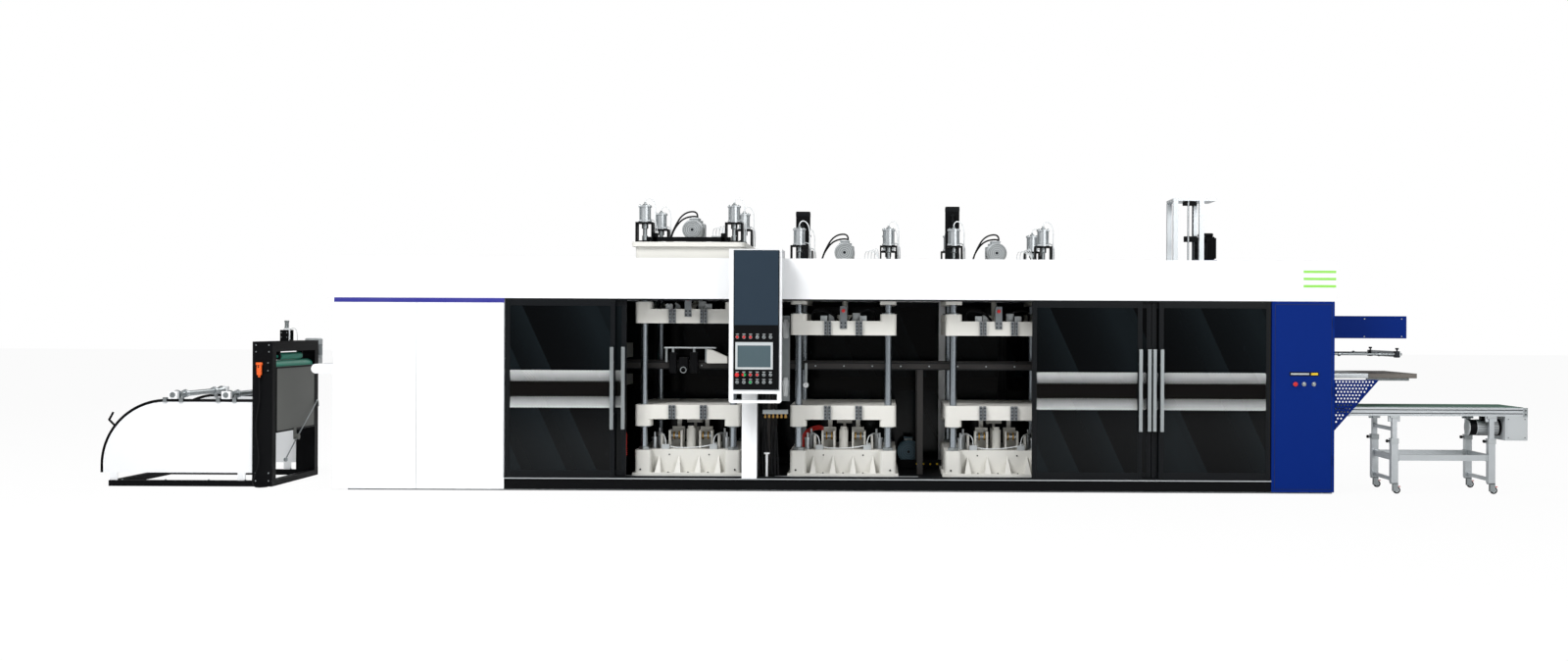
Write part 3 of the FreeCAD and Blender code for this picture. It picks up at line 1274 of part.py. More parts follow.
def save_doors():
    """The six front door leaves and their tracks."""
    save("door_tracks", door_tracks())
    save("door_1", door_leaf(DOOR_A_LEFT, DOOR_A_WIDTH, FRONT_TRACK_Y, True))
    save("door_2", door_leaf(DOOR_B_LEFT, DOOR_B_WIDTH, REAR_TRACK_Y, True))
    save("door_3", door_leaf(DOOR_C_LEFT, DOOR_C_WIDTH, FRONT_TRACK_Y, True))
    save("door_4", door_leaf(DOOR_E_LEFT, DOOR_E_WIDTH, REAR_TRACK_Y, True))
    save("door_5", door_leaf(DOOR_F_LEFT, DOOR_F_WIDTH, REAR_TRACK_Y, False))
    save("door_6", door_leaf(DOOR_D_LEFT, DOOR_D_WIDTH, FRONT_TRACK_Y, False))


def save_presses():
    """Bases, columns, platens, crowns and their drives."""
    save("press_bases", [press_base(x) for x in STATION_X])
    columns = []
    for x, lift in zip(STATION_X, STATION_LIFT):
        columns += [upright(cx, cy, BASE_TOP, CROWN_BOTTOM + lift, COLUMN_RADIUS)
                    for cx, cy in corners(x, COLUMN_SPAN_X, COLUMN_SPAN_Y)]
    save("press_columns", columns)
    stations = list(zip(STATION_X, STATION_LIFT, CROWN_TOP))
    save("press_crowns", [press_crown(x, lift, top) for x, lift, top in stations])
    for number, (x, lift, top) in enumerate(stations, 1):
        save("lower_platen_%d" % number, [lower_platen(x)])
        save("upper_platen_%d" % number, [upper_platen(x, lift)])
    save("platen_drives", [balance_cylinder(x) for x in STATION_X]
         + [crank_drive(x, side) for x in STATION_X for side in (-1, 1)])
    places = [(cx, cy, top) for x, lift, top in stations
              for cx, cy in corners(x, COLUMN_SPAN_X, COLUMN_SPAN_Y)]
    save("lock_stands", [lock_stand(x, y, z) for x, y, z in places])
    save("lock_cylinders", [lock_cylinder(x, y, z + STAND_HEIGHT) for x, y, z in places])
    save("finned_motors", finned_motors())
    save("servo_motors", servo_motors())
    rail = chain_rail()
    save("chain_rails", [rail, mirrored_y(rail)] + rail_posts())


def save_controls():
    """Pendant, buttons and the lift frame on the deck."""
    save("pendant_arm", [pendant_arm()])
    save("pendant_panel", [pendant_panel()])
    save("control_pieces", control_pieces())
    save("lift_frame", [lift_frame()])


def save_conveyor():
    """Outfeed conveyor."""
    save("conveyor_bed", conveyor_bed())
    save("conveyor_belt", [conveyor_belt()])
    save("conveyor_legs", conveyor_legs())
    save("conveyor_drive", [conveyor_drive()])
    save("castors", [castor_fork(x, y) for x, y in castor_places()]
         + [castor_wheel(x, y) for x, y in castor_places()])


def save_unwinder():
    """Film unwinder."""
    post = unwinder_post()
    save("unwinder_posts", [post, mirrored_y(post)])
    save("unwinder_frame", unwinder_frame())
    save("unwinder_apron", [apron()])
    tube = side_tube()
    save("unwinder_side_tubes", [tube, mirrored_y(tube)] + shaft_blocks())
    panel = side_panel()
    save("unwinder_side_panels", [panel, mirrored_y(panel)])
    for number, x in enumerate(SHAFT_X, 1):
        save("roll_shaft_%d" % number, [roll_shaft(x)])
    rear_end = UNWIND_HALF_WIDTH + GEARBOX_SIDE / 3
    save("nip_roller_lower", [nip_roller(NIP_LOWER_Z, NIP_LOWER_RADIUS, NIP_LOWER_HALF,
                                         UNWIND_HALF_WIDTH, rear_end)])
    arm_end = NIP_UPPER_HALF + PASS_GAP + NIP_ARM_THICK
    save("nip_roller_upper", [nip_roller(upper_nip_z(), NIP_UPPER_RADIUS, NIP_UPPER_HALF,
                                         arm_end, arm_end)])
    save("film_lift_unit", [lift_unit()] + nip_arms())
    save("unwinder_gearmotor", [gearmotor()])
    save("hand_switch", [hand_switch()])
    save("switch_cord", [cord_tube()])


def main():
    """Write every node."""
    os.makedirs("parts", exist_ok=True)
    save_body()
    save_doors()
    save_presses()
    save_controls()
    save_conveyor()
    save_unwinder()


main()
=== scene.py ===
"""Looks of a thermoforming packaging line with its unwinder and outfeed conveyor."""

import logging
import math
from collections.abc import Sequence
from dataclasses import dataclass
from enum import Enum

import bpy
from mathutils import Matrix, Vector


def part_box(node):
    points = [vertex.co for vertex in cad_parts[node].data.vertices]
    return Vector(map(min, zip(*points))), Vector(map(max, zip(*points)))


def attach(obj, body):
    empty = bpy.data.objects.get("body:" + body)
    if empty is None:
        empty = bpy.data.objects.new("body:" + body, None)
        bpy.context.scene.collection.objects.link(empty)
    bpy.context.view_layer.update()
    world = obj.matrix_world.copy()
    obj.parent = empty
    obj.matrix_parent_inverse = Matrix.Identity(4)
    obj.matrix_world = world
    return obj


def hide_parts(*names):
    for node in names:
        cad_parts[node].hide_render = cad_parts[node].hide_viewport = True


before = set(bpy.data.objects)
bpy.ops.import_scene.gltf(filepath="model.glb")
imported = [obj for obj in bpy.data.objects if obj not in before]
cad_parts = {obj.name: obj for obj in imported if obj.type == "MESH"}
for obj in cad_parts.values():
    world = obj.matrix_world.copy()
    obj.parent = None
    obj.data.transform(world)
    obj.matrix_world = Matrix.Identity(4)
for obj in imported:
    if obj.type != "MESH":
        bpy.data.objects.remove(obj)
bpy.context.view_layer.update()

LOG = logging.getLogger("thermoformer")
MM = 0.001
SHARP = math.radians(35)
SIDES = (-1, 1)
CORNERS = [(a, b) for a in SIDES for b in SIDES]
Point = tuple[float, float, float]
Span = tuple[float, float]
Row = tuple[float, ...]
Piece = bpy.types.Object
Pieces = list[Piece]


# Finishes

class Grain(Enum):
    """How a surface was made, which sets its fine relief."""

    SPRAYED = "sprayed"
    CAST = "cast"
    BRUSHED_X = "brushed along X"
    BRUSHED_Z = "brushed along Z"
    MOULDED = "moulded"
    WOVEN = "woven"


@dataclass(frozen=True)
class Relief:
    """Fine relief of one grain.

    Attributes:
        size_mm: Width of one grain.
        stretch: Grain length along X, Y and Z, as a multiple of its width.
        depth_mm: Height of the relief.
        shade: Share by which the colour darkens in the hollows.
    """

    size_mm: float
    stretch: Point
    depth_mm: float
    shade: float


RELIEFS = {
    # Orange peel of stoved enamel, drawn four times its real size so that it shows
    Grain.SPRAYED: Relief(9.0, (1.0, 1.0, 1.0), 0.05, 0.03),
    # Sand texture that stays under the paint of a casting
    Grain.CAST: Relief(6.0, (1.0, 1.0, 1.0), 0.5, 0.08),
    # Belt-sanded lines, drawn coarser than the real 0.2 mm grit
    Grain.BRUSHED_X: Relief(1.2, (40.0, 1.0, 1.0), 0.03, 0.12),
    Grain.BRUSHED_Z: Relief(1.2, (1.0, 1.0, 40.0), 0.03, 0.12),
    # Spark-eroded mould skin
    Grain.MOULDED: Relief(2.5, (1.0, 1.0, 1.0), 0.06, 0.05),
    # Fabric impression of a conveyor belt's top cover
    Grain.WOVEN: Relief(4.0, (1.0, 1.0, 1.0), 0.4, 0.15),
}


def linear(colour: str) -> tuple[float, float, float, float]:
    """Turn an sRGB hex colour into linear values.

    Args:
        colour: Six hex digits with a leading hash.

    Returns:
        Red, green, blue and alpha.
    """
    parts = [int(colour[i:i + 2], 16) / 255 for i in (1, 3, 5)]
    curve = [p / 12.92 if p <= 0.04045 else ((p + 0.055) / 1.055) ** 2.4 for p in parts]
    return (curve[0], curve[1], curve[2], 1.0)


def add_node(tree: bpy.types.NodeTree, kind: str, settings: dict | None = None,
             links: dict | None = None) -> bpy.types.Node:
    """Add one shader node with its settings and incoming links.

    Args:
        tree: Node tree of the material or world.
        kind: Type name of the node, after its ShaderNode.
        settings: Values of the node's own properties or inputs.
        links: Output sockets by the input that they feed.

    Returns:
        The new node.
    """
    node = tree.nodes.new("ShaderNode" + kind)
    for key, value in (settings or {}).items():
        if isinstance(key, str) and hasattr(node, key):
            setattr(node, key, value)
        else:
            node.inputs[key].default_value = value
    for key, socket in (links or {}).items():
        tree.links.new(socket, node.inputs[key])
    return node


def new_material(name: str) -> tuple[bpy.types.Material, bpy.types.NodeTree, bpy.types.Node]:
    """Start a material.

    Args:
        name: Plain name of the real finish.

    Returns:
        The material, its node tree and its main shader.
    """
    material = bpy.data.materials.new(name)
    material.use_nodes = True
    tree = material.node_tree
    return material, tree, tree.nodes["Principled BSDF"]


@dataclass(frozen=True)
class Finish:
    """A finish with one colour and one grain.

    Attributes:
        name: Common name of the real finish.
        colour: sRGB hex colour.
        grain: How the surface was made.
        slot: The record's material slot; not used.
        roughness: Middle roughness.
        metallic: 1 on bare metal.
        soil: Share of dust tone that gathers in broad patches.
        shine: Strength of the mirror part on anything but bare metal.
    """

    name: str
    colour: str
    grain: Grain
    slot: str
    roughness: float = 0.4
    metallic: float = 0.0
    soil: float = 0.05
    shine: float = 0.5

    def make(self) -> bpy.types.Material:
        """Build the material, or give the one already built."""
        known = bpy.data.materials.get(self.name)
        if known is not None:
            return known
        material, tree, shader = new_material(self.name)
        relief = RELIEFS[self.grain]
        base = linear(self.colour)
        hollow = tuple(c * (1 - relief.shade) for c in base[:3]) + (1.0,)
        dusty = tuple(c * (1 - self.soil) + 0.35 * self.soil for c in base[:3]) + (1.0,)
        place = add_node(tree, "TexCoord").outputs["Object"]
        per_metre = 1 / (relief.size_mm * MM)
        scale = tuple(per_metre / s for s in relief.stretch)
        fine_place = add_node(tree, "Mapping", {"Scale": scale}, {"Vector": place})
        fine = add_node(tree, "TexNoise", {"Scale": 1.0, "Detail": 2.0}, {"Vector": fine_place.outputs[0]})
        broad = add_node(tree, "TexNoise", {"Scale": 2.2, "Detail": 4.0}, {"Vector": place})
        patches = add_node(tree, "MapRange", {1: 0.42, 2: 0.72}, {"Value": broad.outputs["Fac"]})
        tone = add_node(tree, "Mix", {"data_type": "RGBA", 6: hollow, 7: base},
                        {"Factor": fine.outputs["Fac"]})
        dusted = add_node(tree, "Mix", {"data_type": "RGBA", 7: dusty},
                          {"Factor": patches.outputs[0], 6: tone.outputs[2]})
        tree.links.new(dusted.outputs[2], shader.inputs["Base Color"])
        rough = add_node(tree, "MapRange", {3: max(0.02, self.roughness - 0.05), 4: self.roughness + 0.07},
                         {"Value": broad.outputs["Fac"]})
        tree.links.new(rough.outputs[0], shader.inputs["Roughness"])
        bump = add_node(tree, "Bump", {"Strength": 0.6, "Distance": relief.depth_mm * MM},
                        {"Height": fine.outputs["Fac"]})
        tree.links.new(bump.outputs[0], shader.inputs["Normal"])
        shader.inputs["Metallic"].default_value = self.metallic
        shader.inputs["Specular IOR Level"].default_value = self.shine
        return material


@dataclass(frozen=True)
class BandedGlass:
    """Black-backed safety glass with a printed band of dots.

    Attributes:
        name: Common name of the real finish.
        outward: 1 where the printed face looks along Y, -1 against it.
        middle_z: Height of the band's middle, in metres.
        plain_half: Half the height of the plain middle strip, in metres.
        print_half: Half the height of the whole band, in metres.
        dot_mm: Distance from one dot to the next.
        slant: Sideways run of a painted reflection streak for each metre of height.
        slot: The record's material slot; not used.
    """

    name: str
    outward: int
    middle_z: float = 1.04
    plain_half: float = 0.078
    print_half: float = 0.19
    dot_mm: float = 31.0
    slant: float = 0.458
    slot: str = "dark_glass"

    def make(self) -> bpy.types.Material:
        """Build the glass with its print and its painted slanting reflection streaks."""
        known = bpy.data.materials.get(self.name)
        if known is not None:
            return known
        material, tree, shader = new_material(self.name)

        def sums(operation: str, first: object, second: float = 0.0) -> bpy.types.NodeSocket:
            """One sum on a socket and a number."""
            return add_node(tree, "Math", {"operation": operation, 1: second}, {0: first}).outputs[0]

        def product(first: object, second: object) -> bpy.types.NodeSocket:
            """Two sockets multiplied."""
            return add_node(tree, "Math", {"operation": "MULTIPLY"}, {0: first, 1: second}).outputs[0]

        coord = add_node(tree, "TexCoord")
        split = add_node(tree, "SeparateXYZ", links={0: coord.outputs["Object"]})
        facing = add_node(tree, "SeparateXYZ", links={0: coord.outputs["Normal"]}).outputs["Y"]
        printed_face = sums("GREATER_THAN", sums("MULTIPLY", facing, self.outward), 0.5)
        far = sums("ABSOLUTE", sums("SUBTRACT", split.outputs["Z"], self.middle_z))
        band = product(sums("LESS_THAN", far, self.print_half), sums("GREATER_THAN", far, self.plain_half))
        # White dots on the corners of a chequer, larger towards the band's outer edge
        cell = math.sqrt(2) / (self.dot_mm * MM)
        turned_grid = add_node(tree, "Mapping",
                               {"Rotation": (0, math.radians(45), 0), "Scale": (cell, 0, cell)},
                               {"Vector": coord.outputs["Object"]})
        in_cell = add_node(tree, "VectorMath", {"operation": "FRACTION"}, {0: turned_grid.outputs[0]})
        reach = add_node(tree, "VectorMath", {"operation": "DISTANCE", 1: (0.5, 0.0, 0.5)},
                         {0: in_cell.outputs[0]})
        size = add_node(tree, "MapRange", {1: self.plain_half, 2: self.print_half, 3: 0.22, 4: 0.42},
                        {"Value": far}).outputs[0]
        dot = add_node(tree, "Math", {"operation": "LESS_THAN"},
                       {0: reach.outputs["Value"], 1: size}).outputs[0]
        white = product(product(band, dot), printed_face)
        # Reflections drawn as slanting fades, each ending on a sharp edge
        across = add_node(tree, "Math", {"operation": "MULTIPLY_ADD", 1: self.slant},
                          {0: split.outputs["Z"], 2: split.outputs["X"]}).outputs[0]
        fades = [sums("POWER", sums("FRACT", sums("DIVIDE", across, period)), 3.0)
                 for period in (0.77, 1.31)]
        both = add_node(tree, "Math", {"operation": "ADD", "use_clamp": True},
                        {0: fades[0], 1: fades[1]}).outputs[0]
        # Painted reflection: the glass colour brightens along each slanting fade
        painted_reflection = add_node(tree, "Mix", {"data_type": "RGBA", 6: linear("#020304"), 7: linear("#0E1417")},
                        {"Factor": both})
        strip = sums("LESS_THAN", far, self.plain_half)
        middle = add_node(tree, "Mix", {"data_type": "RGBA", 7: linear("#0B0A09")},
                          {"Factor": strip, 6: painted_reflection.outputs[2]})
        printed = add_node(tree, "Mix", {"data_type": "RGBA", 7: linear("#F2F5F6")},
                           {"Factor": white, 6: middle.outputs[2]})
        tree.links.new(printed.outputs[2], shader.inputs["Base Color"])
        shader.inputs["Roughness"].default_value = 0.1
        shader.inputs["Specular IOR Level"].default_value = 0.12
        return material


class Stock:
    """Every finish of the line, named for the real material."""

    # Stoved white enamel on sheet steel: bright, even, a soft sheen
    WHITE = Finish("white stoved enamel", "#EDEFF1", Grain.SPRAYED, "white_paint", 0.35)
    # White machine paint over sand castings: bright with a grainy skin
    CASTING = Finish("white machine paint on castings", "#DAD9D3", Grain.CAST, "white_paint", 0.5,
                     soil=0.12)
    # Satin black powder coat, near black even in full light
    BLACK = Finish("satin black powder coat", "#08090B", Grain.SPRAYED, "black_paint", 0.5, soil=0.0,
                   shine=0.08)
    # Black anodised aluminium profile, a little bluer and shinier than paint
    PROFILE = Finish("black anodised aluminium", "#0C0F12", Grain.BRUSHED_Z, "black_paint", 0.42, soil=0.0,
                     shine=0.14)
    # Ultramarine enamel of the exit cabinets
    BLUE = Finish("ultramarine enamel", "#022574", Grain.SPRAYED, "blue_paint", 0.5, soil=0.0, shine=0.06)
    # Darker blue of the exit guard
    NAVY = Finish("navy enamel", "#042066", Grain.SPRAYED, "blue_paint", 0.5, soil=0.0, shine=0.06)
    # Slate lacquer on the pendant's face, blue-grey with a dull sheen
    SLATE = Finish("slate lacquer", "#26333F", Grain.SPRAYED, "black_paint", 0.5, soil=0.0, shine=0.12)
    # Grey hammer paint
    GREY = Finish("grey hammer paint", "#5C5E5A", Grain.SPRAYED, "grey_paint", 0.5)
    # Light grey paint of covers and gearboxes
    PALE = Finish("light grey enamel", "#B9BEC0", Grain.SPRAYED, "grey_paint", 0.4)
    # Blue-grey motor paint
    MOTOR = Finish("blue-grey motor paint", "#53707F", Grain.CAST, "grey_paint", 0.5)
    # Brushed stainless steel
    STEEL = Finish("brushed stainless steel", "#A2A8AA", Grain.BRUSHED_Z, "steel", 0.36, 1.0)
    # Ground and chromed column steel
    CHROME = Finish("hard chromed steel", "#A3ABB2", Grain.BRUSHED_Z, "chrome_column", 0.22, 1.0)
    # Dark oiled steel of screws
    SCREW = Finish("black oxide steel", "#22252A", Grain.MOULDED, "black_paint", 0.4, 0.8)
    # Clear anodised aluminium
    ALU = Finish("clear anodised aluminium", "#C4C9CC", Grain.BRUSHED_X, "aluminium", 0.36, 0.9)
    # Die-cast aluminium of motor housings
    DIECAST = Finish("die-cast aluminium", "#B4B9BB", Grain.CAST, "aluminium", 0.45, 0.4)
    # Hardened guide steel, darker than the castings it is bolted to
    GUIDE = Finish("hardened guide steel", "#777C80", Grain.BRUSHED_Z, "steel", 0.45, 0.5)
    # Oiled rail steel, brown-black and a little brighter than paint
    RAIL = Finish("oiled rail steel", "#262423", Grain.BRUSHED_X, "black_paint", 0.4, soil=0.0, shine=0.3)
    # Turned brass of glands and fittings
    BRASS = Finish("turned brass", "#B08A4A", Grain.MOULDED, "aluminium", 0.35, 1.0)
    # Green polyurethane roller cover
    GREEN = Finish("green roller rubber", "#0F8A72", Grain.MOULDED, "rubber_green", 0.55)
    # Green PVC belt
    BELT = Finish("green belt cover", "#1F5B45", Grain.WOVEN, "belt", 0.5)
    # Black hose and cable jacket
    RUBBER = Finish("black hose rubber", "#0C0D0F", Grain.MOULDED, "black_rubber", 0.6, soil=0.0,
                    shine=0.15)
    # Red polyurethane spiral hose
    RED_HOSE = Finish("red polyurethane hose", "#C4231C", Grain.MOULDED, "control_plastic", 0.3)
    # Milky nylon air tube
    TUBE = Finish("white nylon tube", "#E4E8EA", Grain.MOULDED, "white_paint", 0.35)
    RED = Finish("red button plastic", "#C8181B", Grain.MOULDED, "control_plastic", 0.28)
    LAMP_GREEN = Finish("green button plastic", "#1E9C54", Grain.MOULDED, "control_plastic", 0.28)
    YELLOW = Finish("yellow signal plastic", "#E8C21A", Grain.MOULDED, "control_plastic", 0.35)
    ORANGE = Finish("orange switch plastic", "#F0631B", Grain.MOULDED, "orange_plastic", 0.35)
    LIME = Finish("lime stripe film", "#8DE04A", Grain.SPRAYED, "white_paint", 0.35)
    INDIGO = Finish("indigo stripe film", "#2A2A86", Grain.SPRAYED, "blue_paint", 0.35)
    # Grey-brown table laminate
    LAMINATE = Finish("grey-brown laminate", "#6E6862", Grain.BRUSHED_X, "aluminium", 0.5)
    SCREEN = Finish("screen glass", "#4B5B61", Grain.SPRAYED, "dark_glass", 0.25, soil=0.0, shine=0.15)
    GLASS = BandedGlass("tinted safety glass", -1)
    REAR_GLASS = BandedGlass("rear safety glass", 1)


# Modelling moves

class Axis(Enum):
    """A row axis, with the turn that brings a Z-wise primitive onto it."""

    X = (0.0, math.radians(90), 0.0)
    Y = (math.radians(-90), 0.0, 0.0)
    Z = (0.0, 0.0, 0.0)


def about(middle: float, half: float) -> Span:
    """A stretch that reaches equally far to both sides of its middle."""
    return (middle - half, middle + half)


def run(start: float, length: float) -> Span:
    """A stretch from its start on."""
    return (start, start + length)


def stages(*steps: Span) -> list[Span]:
    """Rings of a stepped bar, from the end and the radius of each step."""
    rings, start = [], 0.0
    for end, radius in steps:
        rings += [(start, radius), (end, radius)]
        start = end
    return rings


def start_clean() -> None:
    """Leave edit mode and deselect everything."""
    if bpy.context.object and bpy.context.object.mode != "OBJECT":
        bpy.ops.object.mode_set(mode="OBJECT")
    bpy.ops.object.select_all(action="DESELECT")


def picked(pieces: Pieces) -> Piece:
    """Select pieces alone, joined where they are several."""
    start_clean()
    for piece in pieces:
        piece.select_set(True)
    bpy.context.view_layer.objects.active = pieces[0]
    if len(pieces) > 1:
        bpy.ops.object.join()
    return bpy.context.active_object


def linked(name: str, data: bpy.types.ID) -> Piece:
    """Put new data into the scene as an object."""
    holder = bpy.data.objects.new(name, data)
    bpy.context.collection.objects.link(holder)
    return holder


def settle(piece: Piece) -> Piece:
    """Move a piece's place into its mesh, which leaves the object at the origin."""
    bpy.context.view_layer.update()
    piece.data.transform(piece.matrix_basis)
    piece.matrix_basis = Matrix.Identity(4)
    return piece


def ease_edges(piece: Piece, width: float, segments: int = 2) -> Piece:
    """Bevel the sharp edges of a piece; a width of 0 leaves them."""
    if width > 0:
        bpy.context.view_layer.objects.active = piece
        bevel = piece.modifiers.new("eased edges", "BEVEL")
        bevel.width, bevel.segments = width, segments
        bevel.limit_method, bevel.angle_limit = "ANGLE", SHARP
        bpy.ops.object.modifier_apply(modifier=bevel.name)
    return piece


def block(x: Span, y: Span, z: Span, ease: float = 0.002) -> Piece:
    """Model a box with eased edges.

    Args:
        x: Its stretch along X.
        y: Its stretch along Y.
        z: Its stretch along Z.
        ease: Width of the eased edges.

    Returns:
        The new piece.
    """
    start_clean()
    spans = (x, y, z)
    bpy.ops.mesh.primitive_cube_add(size=1.0, location=[(a + b) / 2 for a, b in spans])
    piece = bpy.context.active_object
    piece.scale = [abs(b - a) for a, b in spans]
    return ease_edges(settle(piece), ease)


def close_and_stand(piece: Piece, start: Point, axis: Axis, rise: float = 0.0) -> Piece:
    """Close a shape drawn in edit mode and stand it on its axis.

    Args:
        piece: The shape, drawn along Z.
        start: Where its axis starts.
        axis: The axis.
        rise: How far along the axis the shape begins.

    Returns:
        The piece in its place.
    """
    bpy.ops.mesh.select_all(action="SELECT")
    bpy.ops.mesh.normals_make_consistent(inside=False)
    bpy.ops.object.mode_set(mode="OBJECT")
    piece.rotation_euler = axis.value
    bpy.context.view_layer.update()
    piece.location = Vector(start) + piece.rotation_euler.to_matrix() @ Vector((0, 0, rise))
    return settle(piece)


def turned(start: Point, axis: Axis, steps: list[Span], sides: int = 32, ease: float = 0.001) -> Piece:
    """Model a turned piece by extruding and scaling a disc.

    Args:
        start: Where its axis starts.
        axis: Axis of the piece.
        steps: Distance along the axis and radius of each ring.
        sides: Number of sides.
        ease: Width of the eased edges.

    Returns:
        The new piece.
    """
    start_clean()
    bpy.ops.mesh.primitive_circle_add(vertices=sides, radius=steps[0][1], fill_type="NGON")
    piece = bpy.context.active_object
    bpy.ops.object.mode_set(mode="EDIT")
    bpy.ops.mesh.select_all(action="SELECT")
    for (z0, r0), (z1, r1) in zip(steps, steps[1:]):
        bpy.ops.mesh.extrude_region_move(TRANSFORM_OT_translate={"value": (0, 0, z1 - z0)})
        bpy.ops.transform.resize(value=(r1 / r0, r1 / r0, 1.0), center_override=(0, 0, z1 - steps[0][0]))
    return ease_edges(close_and_stand(piece, start, axis, steps[0][0]), ease)


def bar(start: Point, axis: Axis, radius: float, length: float, sides: int = 24,
        ease: float = 0.001) -> Piece:
    """Model a round bar with eased ends."""
    return turned(start, axis, stages((length, radius)), sides, ease)


def ring(start: Point, axis: Axis, inner: float, outer: float, height: float, sides: int = 32) -> Piece:
    """Model a flat ring by bridging two circles and extruding the face.

    Args:
        start: Centre of the ring's first face.
        axis: Axis of the ring.
        inner: Radius of the bore.
        outer: Outer radius.
        height: Height along the axis.
        sides: Number of sides.

    Returns:
        The new piece.
    """
    start_clean()
    bpy.ops.mesh.primitive_circle_add(vertices=sides, radius=outer)
    piece = bpy.context.active_object
    bpy.ops.object.mode_set(mode="EDIT")
    bpy.ops.mesh.primitive_circle_add(vertices=sides, radius=inner)
    bpy.ops.mesh.select_all(action="SELECT")
    bpy.ops.mesh.bridge_edge_loops()
    bpy.ops.mesh.extrude_region_move(TRANSFORM_OT_translate={"value": (0, 0, height)})
    return close_and_stand(piece, start, axis)


def tube_line(name: str, points: Sequence[Point], radius: float, order: int = 3,
              fineness: int = 1) -> Piece:
    """Lay a round curve along a smooth line.

    Args:
        name: The curve's name.
        points: Control points of the line.
        radius: Radius of the tube.
        order: Order of the spline; 2 keeps straight runs.
        fineness: Multiple of the usual number of facets.

    Returns:
        The curve.
    """
    curve = bpy.data.curves.new(name, "CURVE")
    curve.dimensions, curve.bevel_depth, curve.use_fill_caps = "3D", radius, True
    curve.bevel_resolution, curve.resolution_u = 2 * fineness, 6 * fineness
    line = curve.splines.new("NURBS")
    line.points.add(len(points) - 1)
    for spot, place in zip(line.points, points):
        spot.co = (*place, 1.0)
    line.order_u, line.use_endpoint_u = order, True
    return linked(name, curve)


def pipe(points: Sequence[Point], radius: float, order: int = 3) -> Piece:
    """Model a bent tube as a mesh along a smooth line."""
    picked([tube_line("tube", points, radius, order)])
    bpy.ops.object.convert(target="MESH")
    return bpy.context.active_object


def sliced(piece: Piece, point: Point, normal: Point) -> Piece:
    """Cut off what lies beyond a plane, on the side of its normal, and close the cut."""
    picked([piece])
    bpy.ops.object.mode_set(mode="EDIT")
    bpy.ops.mesh.select_all(action="SELECT")
    bpy.ops.mesh.bisect(plane_co=point, plane_no=normal, use_fill=True, clear_outer=True)
    bpy.ops.object.mode_set(mode="OBJECT")
    return piece


def copied(piece: Piece, shift: Point, mirror_y: bool = False) -> Piece:
    """Copy a piece with its own mesh.

    Args:
        piece: The piece to copy.
        shift: How far the copy lies from the first piece.
        mirror_y: Whether the copy is turned over across the XZ plane first.

    Returns:
        The copy.
    """
    twin = piece.copy()
    twin.data = piece.data.copy()
    if mirror_y:
        twin.data.transform(Matrix.Scale(-1, 4, Vector((0, 1, 0))))
        twin.data.flip_normals()
    twin.data.transform(Matrix.Translation(Vector(shift)))
    bpy.context.collection.objects.link(twin)
    return twin


def dressed(piece: Piece, finish: Finish | BandedGlass) -> Piece:
    """Give a piece its finish."""
    piece.data.materials.clear()
    piece.data.materials.append(finish.make())
    return piece


def fitted(name: str, parts: Pieces, finish: Finish | BandedGlass, body: str = "machine") -> Piece:
    """Join parts into one named piece, dress it and let it ride.

    Args:
        name: Name of the joined piece.
        parts: Meshes to join.
        finish: Finish of the whole piece.
        body: The moving body that carries it.

    Returns:
        The finished piece.
    """
    piece = picked(parts)
    piece.name = piece.data.name = name
    bpy.ops.object.shade_smooth_by_angle(angle=SHARP)
    level = piece.modifiers.new("face normals", "WEIGHTED_NORMAL")
    level.keep_sharp = True
    bpy.ops.object.modifier_apply(modifier=level.name)
    dressed(piece, finish)
    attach(piece, body)
    LOG.info("fitted %s on %s", name, body)
    return piece


def screws(places: list[Point], size: float, axis: Axis = Axis.Y, sign: int = -1) -> Pieces:
    """Model socket screw heads, one copied to every place.

    Args:
        places: Seat of each head.
        size: Radius of a head.
        axis: Axis of the screws.
        sign: 1 where the heads stand out along the axis, -1 against it.

    Returns:
        One mesh for each head.
    """
    height = size * 0.9
    low = 0.0 if sign > 0 else -height
    first = turned((0, 0, 0), axis, [(low, size), (low + height, size)], 10, size * 0.15)
    heads = [copied(first, place) for place in places]
    bpy.data.objects.remove(first)
    return heads


def both_sides(parts: Pieces) -> Pieces:
    """The parts and their mirror twins on the other long side."""
    return parts + [copied(part, (0, 0, 0), True) for part in parts]


def circled(piece: Piece, centre: Point, axis: Axis, count: int, turn: float = 360.0) -> Pieces:
    """Copy a piece round an axis.

    Args:
        piece: The first piece, already in its place.
        centre: A point on the axis.
        axis: The axis.
        count: Number of pieces in all.
        turn: Whole angle that they share, in degrees.

    Returns:
        Every piece, the first with them.
    """
    pieces = [piece]
    for number in range(1, count):
        angle = math.radians(turn * number / count)
        twin = copied(piece, tuple(-c for c in centre))
        twin.data.transform(Matrix.Translation(centre) @ Matrix.Rotation(angle, 4, axis.name))
        pieces.append(twin)
    return pieces


def cut_away(piece: Piece, cutters: Pieces) -> Piece:
    """Cut closed meshes out of a piece, which uses them up."""
    tool = picked(cutters)
    picked([piece])
    cut = piece.modifiers.new("holes", "BOOLEAN")
    cut.operation, cut.object, cut.solver = "DIFFERENCE", tool, "EXACT"
    bpy.ops.object.modifier_apply(modifier=cut.name)
    bpy.data.objects.remove(tool)
    return piece


# Body shell

